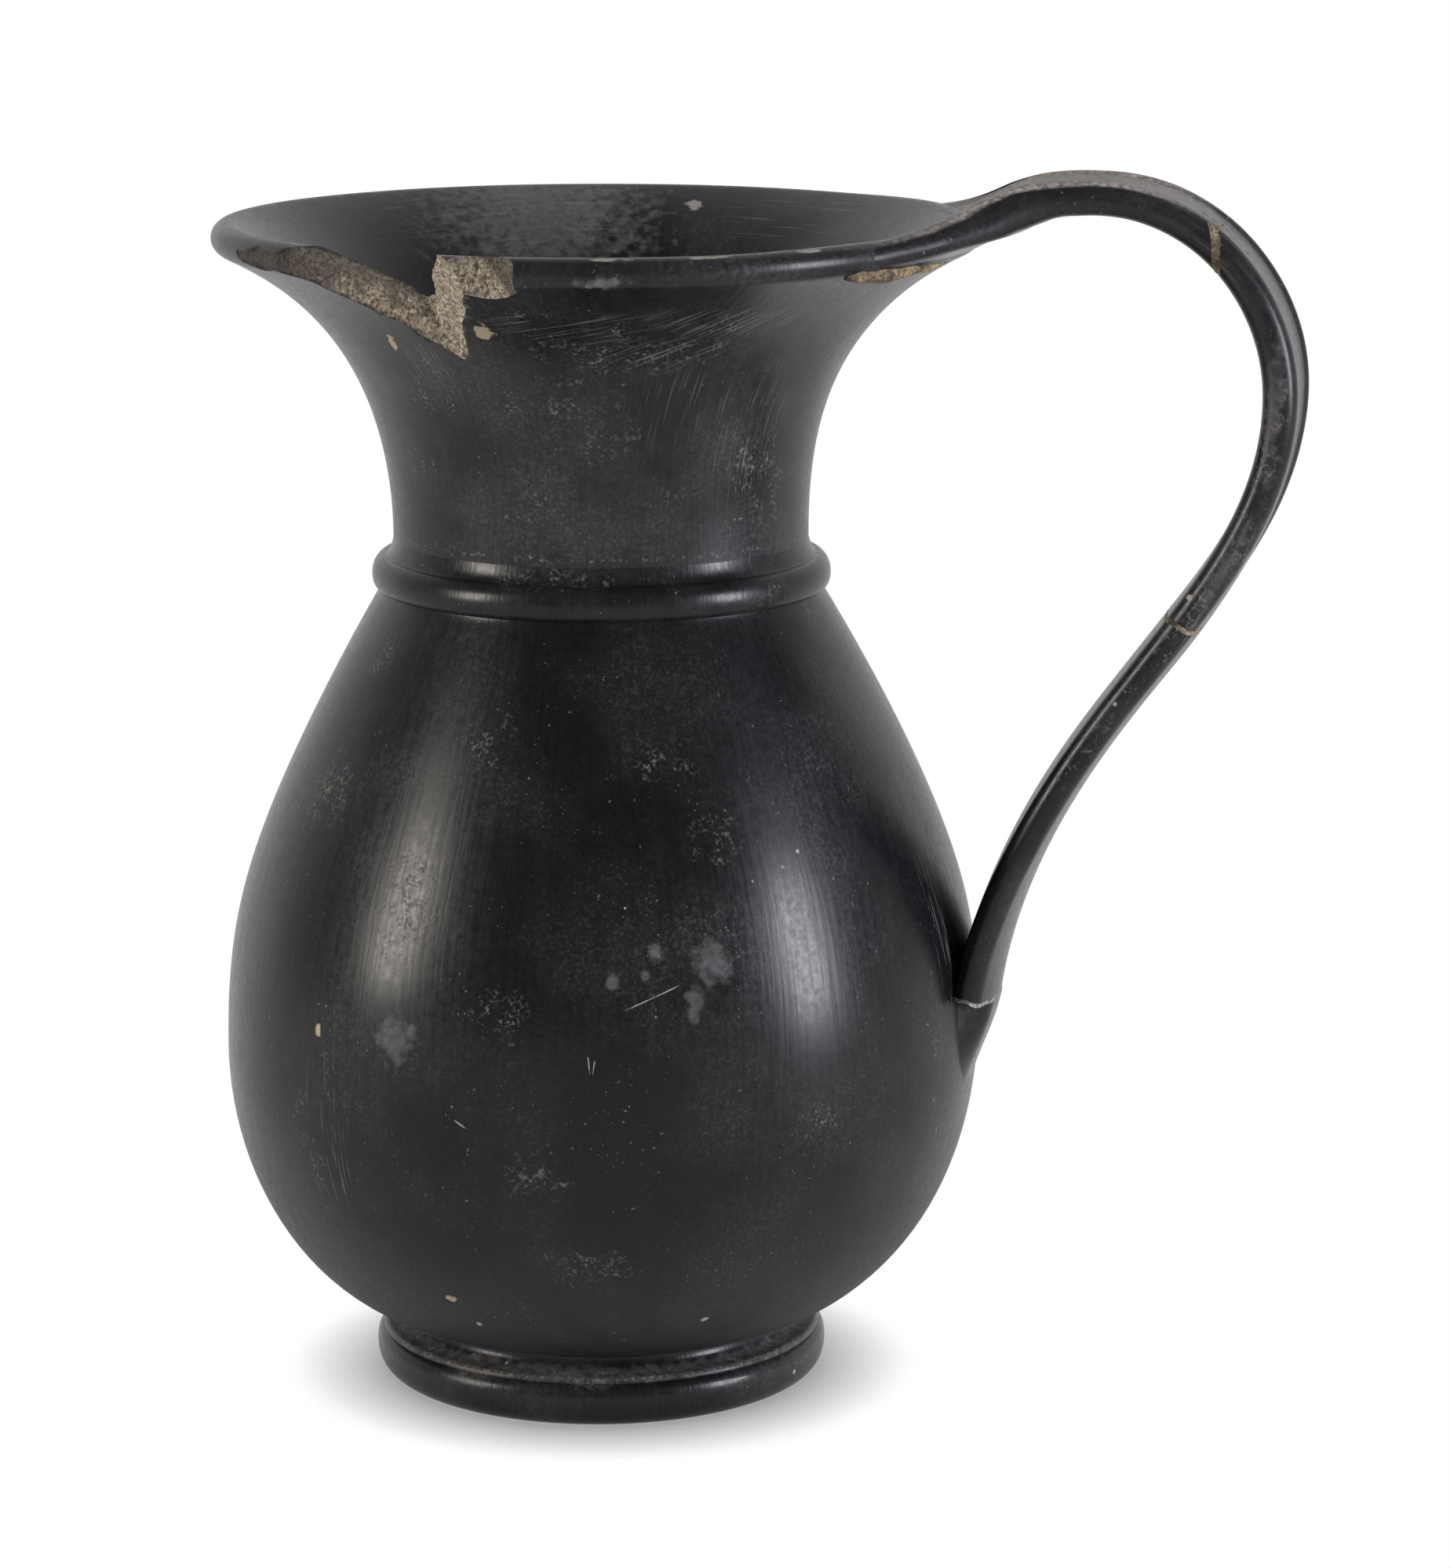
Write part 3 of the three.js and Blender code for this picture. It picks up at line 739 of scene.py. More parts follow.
class Break:
    """A break of the handle: its place along the strap, the filling's width far and near, and its slant."""

    def __init__(self, place, far_fill, near_fill, slant):
        self.place = place
        self.far_fill = far_fill
        self.near_fill = near_fill
        self.slant = slant

    def middle(self, across, outward):
        rough = BREAK_ROUGH * noise.noise(Vector((across, outward, self.place)) / BREAK_ROUGH_SPAN)
        return self.place + self.slant * outward + rough

    def half(self, across):
        return (self.far_fill + (self.near_fill - self.far_fill) * smooth(*BREAK_NEAR, across)) / 2

    def before(self, across, outward):
        return self.middle(across, outward) - self.half(across)

    def after(self, across, outward):
        return self.middle(across, outward) + self.half(across)


UPPER_BREAK = Break(54, 0.3, 2.6, -1)
MIDDLE_BREAK = Break(132, 0.8, 1.1, -0.2)
ROOT_BREAK = Break(ROOT_PLACE, 0.6, 0.8, 0.25)


def square_end(place):
    """An end face square to the strap at a place along it."""
    return lambda across, outward: place


def strap_piece(name, start, end, start_place, end_place, ease=1):
    """A stretch of the strap between two end faces; with an ease above 1 its steps start close together."""
    span = end_place - start_place
    steps = round(span / STRAP_STEP * (1 if ease == 1 else STRAP_EASED_STEPS))
    return loft(name, start, end, steps, lambda share: strap_section(start_place + span * share), ease)


FILL_UNEVEN = 0.3
FILL_UNEVEN_SPAN = 1.3
FILL_CHANGE = 5
FILL_LOW = 0.1
FILL_STEPS = 6


def filling(name, gap):
    """The filling of a break: an uneven slice that stands a little proud in some places and low in others."""

    def section(share):
        points = []
        for across, outward in strap_section(gap.place):
            spot = Vector((across, outward, FILL_CHANGE * share))
            uneven = FILL_UNEVEN * noise.noise(spot / FILL_UNEVEN_SPAN) - FILL_LOW
            size = math.hypot(across, outward)
            points.append((across * (1 + uneven / size), outward * (1 + uneven / size)))
        return points

    return loft(name, gap.before, gap.after, FILL_STEPS, section)


def stump_section(place):
    """Outline across the stump: it eases into the belly at its sides and ends in a thin border."""
    eased = smooth(ROOT_PLACE, ROOT_PLACE + STUMP_EASE, place)
    skirt = STUMP_SKIRT[0] + (STUMP_SKIRT[1] - STUMP_SKIRT[0]) * eased
    half = STRAP_WIDTH / 2
    top = between(STRAP_EDGES, place) + STRAP_BULGE * (1 - eased)
    low = -top - STUMP_DEEP
    steps = EDGE_STEPS + FACE_STEPS
    section = []
    for step in range(steps + 1):
        across = (half + skirt) * math.cos(math.pi * step / steps)
        drop = (top - low - STUMP_BORDER) * smooth(half - STUMP_SHOULDER, half + skirt, abs(across))
        section.append((across, top - drop))
    for step in range(1, steps):
        section.append((-(half + skirt) * math.cos(math.pi * step / steps), low))
    return section


def handle_root():
    """The stump of the strap, which sinks into the belly."""
    span = STRAP_END - ROOT_PLACE
    steps = round(span / STRAP_STEP)
    return loft("handle_root_clay", ROOT_BREAK.after, square_end(STRAP_END), steps,
                lambda share: stump_section(ROOT_PLACE + span * share))


RIM_FILL_FROM = -38
RIM_FILL_TO = -10
RIM_FILL_RADIUS = 70.9
RIM_FILL_HEIGHT = 220.2
RIM_FILL_ROUND = 1.35
RIM_FILL_TAPER = (1.35, 0.6)
RIM_FILL_SKEW = 0.6
RIM_FILL_FLAT = 0.8
RIM_FILL_LEAST = 0.01
RIM_FILL_STEPS = (40, 160)
RIM_LUMP = 0.55
RIM_LUMP_SPAN = 3
RIM_LUMP_TURN = 1.2
RIM_LUMP_ROUND = 2
RIM_CRUMB = 0.15
RIM_CRUMB_COUNT = 1.3


def rim_mend():
    """Filler smeared under the strap where it joins the lip: a lumpy bead along the lip."""
    bpy.ops.object.select_all(action="DESELECT")
    columns, rows = RIM_FILL_STEPS
    bpy.ops.mesh.primitive_grid_add(x_subdivisions=columns, y_subdivisions=rows)
    piece = begin("rim_mend_filler")
    for vertex in piece.data.vertices:
        share = (vertex.co.y + 1) / 2
        angle = math.pi * vertex.co.x
        azimuth = RIM_FILL_FROM + (RIM_FILL_TO - RIM_FILL_FROM) * share
        out = math.cos(angle)
        up = math.sin(angle)
        spot = Vector((azimuth / RIM_LUMP_TURN, out * RIM_LUMP_ROUND, up * RIM_LUMP_ROUND))
        lump = 1 + RIM_LUMP * noise.noise(spot / RIM_LUMP_SPAN)
        lump += RIM_CRUMB * noise.noise(spot * RIM_CRUMB_COUNT)
        skewed = share ** RIM_FILL_SKEW
        rounded = math.sqrt(max(0, 1 - (2 * skewed - 1) ** 2))
        taper = RIM_FILL_TAPER[0] - RIM_FILL_TAPER[1] * share
        girth = RIM_FILL_ROUND * lump * taper * rounded + RIM_FILL_LEAST
        height = RIM_FILL_HEIGHT + RIM_FILL_FLAT * girth * up
        vertex.co = around(azimuth, RIM_FILL_RADIUS + girth * out, height)
    return close_up(piece)


# Materials

def colour(code):
    """Linear colour of an sRGB hex value."""
    shares = [int(code[i:i + 2], 16) / 255 for i in (1, 3, 5)]
    return (*(s / 12.92 if s <= 0.04045 else ((s + 0.055) / 1.055) ** 2.4 for s in shares), 1)


def add(tree, kind, inputs, **settings):
    """Adds a node with its settings; an input is a value or another node's output. Gives its first output."""
    node = tree.nodes.new("ShaderNode" + kind)
    for name, value in settings.items():
        setattr(node, name, value)
    for name, value in inputs.items():
        if isinstance(value, bpy.types.NodeSocket):
            tree.links.new(value, node.inputs[name])
        else:
            node.inputs[name].default_value = value
    return next(socket for socket in node.outputs if socket.enabled)


def new_material(name):
    """An empty material, with its tree and its surface's own coordinates."""
    material = bpy.data.materials.new(name)
    material.use_nodes = True
    tree = material.node_tree
    tree.nodes.clear()
    return material, tree, tree.nodes.new("ShaderNodeTexCoord").outputs


def surfaced(material, tree, inputs):
    """Ends a material with its shader."""
    shader = add(tree, "BsdfPrincipled", inputs)
    output = tree.nodes.new("ShaderNodeOutputMaterial")
    tree.links.new(shader, output.inputs["Surface"])
    return material


def patches(tree, place, span, low, high, detail=4):
    """Soft patches about span millimetres wide: 0 where their pattern is below low and 1 above high."""
    pattern = add(tree, "TexNoise", {"Vector": place, "Scale": 1 / (span * MM), "Detail": detail})
    return add(tree, "MapRange", {"Value": pattern, "From Min": low, "From Max": high})


def strokes(tree, flat, slant, length, width):
    """A pattern of strokes on the unrolled side, leaning by slant degrees from upright."""
    laid = add(tree, "Mapping", {
        "Vector": flat, "Rotation": (0, 0, math.radians(slant)), "Scale": (width * MM, length * MM, 1)},
        vector_type="TEXTURE")
    return add(tree, "TexNoise", {"Vector": laid, "Scale": 1, "Detail": 2}, noise_dimensions="2D")


def hairs(tree, flat, slant, length, width, low):
    """Fine scratches: the strokes whose pattern is above low."""
    pattern = strokes(tree, flat, slant, length, width)
    return add(tree, "MapRange", {"Value": pattern, "From Min": low, "From Max": low + 0.06})


def soft_spot(tree, place, mark):
    """A soft spot, 1 in its middle and 0 at its edge, at a mark on the vessel."""
    laid = add(tree, "Mapping", {
        "Vector": place,
        "Location": around(mark.azimuth, mark.radius, mark.height),
        "Rotation": (math.radians(mark.turn), 0, math.radians(mark.facing or mark.azimuth)),
        "Scale": (mark.depth * MM, mark.wide * MM, mark.tall * MM)},
        vector_type="TEXTURE")
    return add(tree, "TexGradient", {"Vector": laid}, gradient_type="SPHERICAL")


def marked(tree, place, uneven, marks, low, high, rough=2):
    """A mask of marks with ragged edges: 0 where a mark fades below low and 1 where it is above high."""
    whole = merged(tree, [soft_spot(tree, place, mark) for mark in marks])
    within = add(tree, "MapRange", {"Value": whole, "From Max": 0.1})
    frayed = add(tree, "Math", {0: uneven, 1: rough, 2: whole}, operation="MULTIPLY_ADD")
    frayed = add(tree, "MapRange", {
        "Value": frayed, "From Min": rough / 2 + low, "From Max": rough / 2 + high})
    return merged(tree, [within, frayed], "MULTIPLY")


def band(tree, height, middle, half):
    """1 at a height on the vessel, fading to 0 at half a band's width above and below."""
    off = add(tree, "Math", {0: height, 1: middle * MM}, operation="SUBTRACT")
    off = add(tree, "Math", {0: off}, operation="ABSOLUTE")
    return add(tree, "MapRange", {"Value": off, "From Min": half * MM, "From Max": 0})


def merged(tree, masks, operation="MAXIMUM"):
    """One mask out of several."""
    whole = masks[0]
    for mask in masks[1:]:
        whole = add(tree, "Math", {0: whole, 1: mask}, operation=operation, use_clamp=True)
    return whole


def coated(tree, ground, coats):
    """The ground colour under coats, each a mask, its strength and its colour."""
    for mask, strength, code in coats:
        cover = add(tree, "Math", {0: mask, 1: strength}, operation="MULTIPLY", use_clamp=True)
        ground = add(tree, "Mix", {"Factor": cover, "A": ground, "B": colour(code)}, data_type="RGBA")
    return ground


FILM_AND_SHEEN = "#6b6a6b"
DUST_AND_SHEEN = "#8d877d"
CHIP = "#a3957e"
SPECK = "#b9b4ab"
HAIR = "#8f8c8c"
EARTH = "#b1a9a4"
BLACKEST = "#0a0a0d"
LEAST_BLACK = "#111114"

# Patterns of the clay, in millimetres.
# Grit and hairlines are finer in life and are drawn coarse enough to show.
CLOUD_SPAN = 24
FINE_SPAN = 1.3
GRIT_SPAN = 0.7
UNEVEN_SPAN = 2.2
CLUMP_SPAN = 4
CRUMB_SPANS = (1.1, 0.6)
SPECKLED_SPAN = 11
CRUST_CRUMB_SPAN = 1.1
RUB_LENGTH = 16
RUB_WIDTH = 0.9
HAIR_LENGTH = 17
HAIR_WIDTH = 0.42
BEND_SPAN = 40
BEND = 3
UNRUBBED = (60, 14)
EARTH_EASE = (22, 25)
NOWHERE = (300, 310)


class Mark:
    """A mark on the surface: its place, half its width and height, and its turn in degrees."""

    def __init__(self, azimuth, radius, height, wide, tall, turn=0, facing=None, depth=5):
        self.azimuth = azimuth
        self.radius = radius
        self.height = height
        self.wide = wide
        self.tall = tall
        self.turn = turn
        self.facing = facing
        self.depth = depth


class Wear:
    """What a stretch of the clay has been through: its marks, scratched fields and bands of wear, its shares
    of film, of film marks and of dust, its roughness, how much rougher it is low down and where earth has
    settled.
    Some film marks and bands are partly painted sheen."""

    def __init__(self, films_and_sheen, dusts, scratches, chips, fields, bands, film, smear_and_sheen, dust, roughness,
                 unrubbed=0, settled=NOWHERE):
        self.films_and_sheen = films_and_sheen
        self.dusts = dusts
        self.scratches = scratches
        self.chips = chips
        self.fields = fields
        self.bands = bands
        self.film = film
        self.smear_and_sheen = smear_and_sheen
        self.dust = dust
        self.roughness = roughness
        self.unrubbed = unrubbed
        self.settled = settled


def swayed(tree, coordinates):
    """The unrolled side with slow bends in it, so that no stroke on it is quite straight."""
    place = coordinates["Object"]
    bend = add(tree, "TexNoise", {"Vector": place, "Scale": 1 / (BEND_SPAN * MM), "Detail": 0})
    bend = bend.node.outputs["Color"]
    sway = (BEND * MM, BEND * MM, 0)
    return add(tree, "VectorMath", {0: bend, 1: sway, 2: coordinates["UV"]}, operation="MULTIPLY_ADD")


def dust_and_sheen_mask(tree, place, wear, cloud, grit, uneven):
    """Mask of dust and painted highlight: thin dust in clouds and strewn at the marks, and bands of wear,
    which along the lip's crest and the foot's ridge are partly painted highlight.
    """
    height = add(tree, "SeparateXYZ", {"Vector": place}).node.outputs["Z"]
    gritty = merged(tree, [cloud, grit], "MULTIPLY")
    dust_and_sheen = add(tree, "Math", {0: gritty, 1: wear.dust}, operation="MULTIPLY")
    for middle, half in wear.bands:
        worn_and_sheen = add(tree, "Math", {0: band(tree, height, middle, half), 1: uneven}, operation="MULTIPLY")
        worn_and_sheen = add(tree, "MapRange", {"Value": worn_and_sheen, "From Min": 0.25, "From Max": 0.6})
        worn_and_sheen = merged(tree, [worn_and_sheen, grit], "MULTIPLY")
        dust_and_sheen = merged(tree, [dust_and_sheen, worn_and_sheen])
    strewn = marked(tree, place, uneven, wear.dusts, 0, 0.9)
    clumps = patches(tree, place, CLUMP_SPAN, 0.4, 0.58, detail=6)
    return merged(tree, [dust_and_sheen, merged(tree, [strewn, clumps, grit], "MULTIPLY")])


def hairlines(tree, place, flat, fields):
    """Mask of fine scratches, in fields that each lean their own way."""
    scratched = []
    for slant, least, mark in fields:
        hair = hairs(tree, flat, slant, HAIR_LENGTH, HAIR_WIDTH, least)
        field = add(tree, "MapRange", {"Value": soft_spot(tree, place, mark), "From Max": 0.6})
        scratched.append(merged(tree, [field, hair], "MULTIPLY"))
    return merged(tree, scratched)


def pale_specks(tree, place):
    """Mask of pale crumbs in two sizes, where the surface is speckled."""
    large = patches(tree, place, CRUMB_SPANS[0], 0.73, 0.78, detail=1)
    small = patches(tree, place, CRUMB_SPANS[1], 0.72, 0.77, detail=1)
    speckled = patches(tree, place, SPECKLED_SPAN, 0.5, 0.68, detail=4)
    return merged(tree, [merged(tree, [large, small]), speckled], "MULTIPLY")


def settled_earth(tree, coordinates, settled):
    """Mask of crumbly earth on faces that look up, between two distances from the axis toward the handle."""
    place = coordinates["Object"]
    toward = add(tree, "SeparateXYZ", {"Vector": place}).node.outputs["X"]
    facing = add(tree, "SeparateXYZ", {"Vector": coordinates["Normal"]}).node.outputs
    upward = add(tree, "MapRange", {"Value": facing["Z"], "From Min": 0.72, "From Max": 0.86})
    low, high = [AXIS + edge * MM for edge in settled]
    rise, fall = EARTH_EASE
    beyond = add(tree, "MapRange", {"Value": toward, "From Min": low, "From Max": low + rise * MM})
    within = add(tree, "MapRange", {"Value": toward, "From Min": high, "From Max": high - fall * MM})
    crumbly = patches(tree, place, CRUST_CRUMB_SPAN, 0.38, 0.6)
    crumbly = add(tree, "MapRange", {"Value": crumbly, "To Min": 0.35})
    return merged(tree, [upward, beyond, within, crumbly], "MULTIPLY")


def burnished_clay(name, wear):
    """Clay fired black and rubbed with a pebble while damp: near black and softly glossy, with fine strokes
    along the rubbing, a thin grey film, pale earth in places, hairline scratches and pale specks. Its film
    and dust are partly painted sheen where the wear puts them along the lip's crest and on the foot's ledge
    and ridge."""
    material, tree, coordinates = new_material(name)
    place = coordinates["Object"]
    flat = swayed(tree, coordinates)
    cloud = patches(tree, place, CLOUD_SPAN, 0.42, 0.68, detail=6)
    fine = patches(tree, place, FINE_SPAN, 0.35, 0.75, detail=6)
    grit = patches(tree, place, GRIT_SPAN, 0.5, 0.7, detail=3)
    uneven = add(tree, "TexNoise", {"Vector": place, "Scale": 1 / (UNEVEN_SPAN * MM), "Detail": 5})
    rubbed = strokes(tree, flat, 0, RUB_LENGTH, RUB_WIDTH)

    haze = add(tree, "MapRange", {"Value": cloud, "To Min": 0.25, "To Max": 0.8})
    grain = add(tree, "MapRange", {"Value": fine, "To Min": 0.55})
    streaks = add(tree, "MapRange", {"Value": rubbed, "To Min": 0.4, "To Max": 1.3})
    haze = merged(tree, [haze, grain, streaks], "MULTIPLY")
    smears_and_sheen = marked(tree, place, uneven, wear.films_and_sheen, 0.2, 0.7, rough=1.6)
    smears_and_sheen = merged(tree, [smears_and_sheen, grain], "MULTIPLY")
    dust_and_sheen = dust_and_sheen_mask(tree, place, wear, cloud, grit, uneven)
    scratched = hairlines(tree, place, flat, wear.fields)
    specks = pale_specks(tree, place)
    nicks = marked(tree, place, uneven, wear.scratches, 0.3, 0.6)
    chips = marked(tree, place, uneven, wear.chips, 0.35, 0.5)
    earth = settled_earth(tree, coordinates, wear.settled)

    # Painted sheen: besides real film and dust, the film and dust coats stand in for highlights along the
    # lip's crest and on the foot's ledge and ridge.
    ground = coated(tree, colour(BLACKEST), [
        (cloud, 1, LEAST_BLACK), (haze, wear.film, FILM_AND_SHEEN), (smears_and_sheen, wear.smear_and_sheen, FILM_AND_SHEEN),
        (scratched, 0.28, HAIR), (earth, 0.95, EARTH), (dust_and_sheen, 0.55, DUST_AND_SHEEN),
        (specks, 0.32, SPECK), (nicks, 0.6, SPECK), (chips, 0.9, CHIP)])
    height = add(tree, "SeparateXYZ", {"Vector": place}).node.outputs["Z"]
    low_down = add(tree, "MapRange", {
        "Value": height, "From Min": UNRUBBED[0] * MM, "From Max": UNRUBBED[1] * MM})
    matt = add(tree, "Math", {0: fine, 1: 0.09, 2: wear.roughness}, operation="MULTIPLY_ADD")
    dull = [(rubbed, 0.1), (low_down, wear.unrubbed), (smears_and_sheen, 0.15), (scratched, 0.15),
            (merged(tree, [dust_and_sheen, specks, nicks, chips, earth]), 0.45)]
    for mask, share in dull:
        matt = add(tree, "Math", {0: mask, 1: share, 2: matt}, operation="MULTIPLY_ADD")
    relief = add(tree, "Math", {0: merged(tree, [dust_and_sheen, earth]), 1: 1.5, 2: rubbed}, operation="MULTIPLY_ADD")
    relief = add(tree, "Math", {0: fine, 1: 0.15, 2: relief}, operation="MULTIPLY_ADD")
    normal = add(tree, "Bump", {"Height": relief, "Strength": 0.5, "Distance": 0.05 * MM})
    return surfaced(material, tree, {"Base Color": ground, "Roughness": matt, "Normal": normal, "IOR": 1.29})


# Where the broken faces are soiled: stretches toward the left, and slanted planes with their slope and place
SOILED_LEFT = (-16, -24)
SOILED_TIP = (-34, -46)
INNER_SLOPE = 0.344
INNER_PLACE = 205.5
INNER_EASE = 4
EDGE_SLOPE = 0.68
EDGE_PLACE = 147.8
EDGE_EASE = 1.5


def toward_left(tree, place, stretch):
    """0 to 1 over a stretch that leads to the left of the vessel's axis."""
    side = add(tree, "SeparateXYZ", {"Vector": place}).node.outputs["X"]
    start, end = [AXIS + edge * MM for edge in stretch]
    return add(tree, "MapRange", {"Value": side, "From Min": start, "From Max": end})


def past_plane(tree, place, direction, start, ease):
    """0 before a slanted plane and 1 past it."""
    way = add(tree, "VectorMath", {0: place, 1: direction}, operation="DOT_PRODUCT").node.outputs["Value"]
    return add(tree, "MapRange", {"Value": way, "From Min": start, "From Max": start + ease * MM})


def broken_clay(name):
    """The clay's bare grain where it broke: matt, sandy and tan, with a dark skin where soil has aged it."""
    material, tree, coordinates = new_material(name)
    place = coordinates["Object"]
    grain = patches(tree, place, 0.8, 0.32, 0.7, detail=5)
    pits = patches(tree, place, 0.7, 0.54, 0.61, detail=2)
    stained = patches(tree, place, 2.4, 0.5, 0.7, detail=6)
    blotch = patches(tree, place, 3.5, 0.4, 0.6, detail=6)
    left = toward_left(tree, place, SOILED_LEFT)
    tip = toward_left(tree, place, SOILED_TIP)
    inner_start = AXIS * INNER_SLOPE + INNER_PLACE * MM
    inner = past_plane(tree, place, (INNER_SLOPE, 0, 1), inner_start, INNER_EASE)
    edge = past_plane(tree, place, (1, 0, EDGE_SLOPE), AXIS + EDGE_PLACE * MM, EDGE_EASE)
    aged = merged(tree, [merged(tree, [left, inner], "MULTIPLY"), tip])
    aged = add(tree, "Math", {0: blotch, 1: 0.8, 2: aged}, operation="MULTIPLY_ADD")
    aged = add(tree, "MapRange", {"Value": aged, "From Min": 0.55, "From Max": 1.1})
    depth = add(tree, "Attribute", {}, attribute_name="depth").node.outputs["Fac"]
    depth = add(tree, "Math", {0: blotch, 1: 0.9, 2: depth}, operation="MULTIPLY_ADD")
    skin = add(tree, "MapRange", {"Value": depth, "From Min": 1.3, "From Max": 0.5})
    skin = merged(tree, [skin, left], "MULTIPLY")
    ground = coated(tree, colour("#7f7464"), [
        (grain, 1, "#bdb29f"), (stained, 0.5, "#6b6358"), (pits, 0.7, "#463c32"), (aged, 0.75, "#4f4a44"),
        (tip, 0.8, "#302d29"), (edge, 0.85, "#46413c"), (skin, 0.8, "#262321")])
    height = add(tree, "Math", {0: grain, 1: pits}, operation="SUBTRACT")
    normal = add(tree, "Bump", {"Height": height, "Strength": 0.9, "Distance": 0.35 * MM})
    return surfaced(material, tree, {"Base Color": ground, "Roughness": 0.95, "Normal": normal, "IOR": 1.4})


def mend_filler(name, light, dark, soiled):
    """Filler of sand and glue in a break: matt, grainy and tan, soiled black in part."""
    material, tree, coordinates = new_material(name)
    place = coordinates["Object"]
    grain = patches(tree, place, 0.7, 0.35, 0.65, detail=5)
    soil = patches(tree, place, 3.2, 0.6 - 0.3 * soiled, 0.85 - 0.3 * soiled, detail=6)
    ground = coated(tree, colour(dark), [(grain, 1, light), (soil, 0.85, "#26221e")])
    normal = add(tree, "Bump", {"Height": grain, "Strength": 0.8, "Distance": 0.2 * MM})
    return surfaced(material, tree, {"Base Color": ground, "Roughness": 0.9, "Normal": normal, "IOR": 1.45})


# Wear of each stretch of the vessel

NEAR_SIDE = -90

BELLY_WEAR = Wear(
    films_and_sheen=[
        Mark(-60.8, 69.5, 97.4, 5.4, 6.2, 30), Mark(-63.7, 71.2, 90.4, 2.4, 4.8),
        Mark(-69.2, 68.9, 99.7, 1.9, 2.8), Mark(-75.8, 70.2, 94.7, 2, 2),
        Mark(-71.1, 70, 95.6, 1.5, 1.5), Mark(-108.7, 72.5, 81.7, 6, 6),
        Mark(62, 72, 84, 8, 11), Mark(112, 65, 112, 6, 13), Mark(152, 72, 60, 6, 9), Mark(35, 58, 127, 6, 8)],
    dusts=[
        Mark(-121.2, 73, 74, 2.5, 8), Mark(-124.8, 70.6, 50, 3, 18), Mark(-110, 66.8, 108, 8, 22),
        Mark(-128, 72.8, 62, 4, 9), Mark(-138, 47.4, 147, 5, 6), Mark(-6, 65, 105, 3, 30),
        Mark(-17, 73, 74, 3, 22), Mark(-14.6, 44, 155, 4, 4), Mark(-136, 60, 122, 9, 22),
        Mark(-44.1, 73.1, 65.4, 6, 4), Mark(-92, 71.5, 88, 7, 6), Mark(-66, 56, 132, 8, 5),
        Mark(-58, 62, 118, 7, 6),
        Mark(-87, 72.5, 58, 8, 6), Mark(-100, 54, 136, 6, 8), Mark(-80, 67, 40, 12, 5),
        Mark(80, 62, 40, 9, 12), Mark(130, 58, 126, 7, 14), Mark(170, 72, 75, 5, 16)],
    scratches=[
        Mark(-70.6, 71, 91.2, 0.16, 9.5, -68), Mark(-79.2, 72.7, 79.6, 0.2, 2.6, 6),
        Mark(-78.5, 72.7, 79.2, 0.2, 2.2, -8), Mark(-52.5, 65.2, 110.6, 0.5, 0.5),
        Mark(-43, 63.6, 114.7, 0.5, 0.5), Mark(-46.6, 64.5, 112.4, 0.4, 0.4),
        Mark(-73.8, 66.4, 107.4, 0.4, 0.4),
        Mark(-57.9, 58.5, 25.7, 0.9, 0.6, 20), Mark(-98.3, 73.1, 67.5, 0.2, 2.6, 60),
        Mark(95, 72, 86, 0.2, 6, 40), Mark(140, 70, 52, 0.5, 0.5)],
    chips=[Mark(-123.7, 72.6, 80.5, 1.3, 1.8), Mark(-104, 61.5, 30, 2, 1.4), Mark(-101, 57, 24, 1, 0.8)],
    fields=[
        (4, 0.61, Mark(-10, 69, 92, 9, 40)), (2, 0.64, Mark(-122, 71, 62, 7, 30)),
        (3, 0.63, Mark(66, 68, 98, 22, 40)), (8, 0.63, Mark(140, 68, 96, 20, 36))],
    bands=[], film=0.1, smear_and_sheen=0.55, dust=0.16, roughness=0.22, unrubbed=0.36)

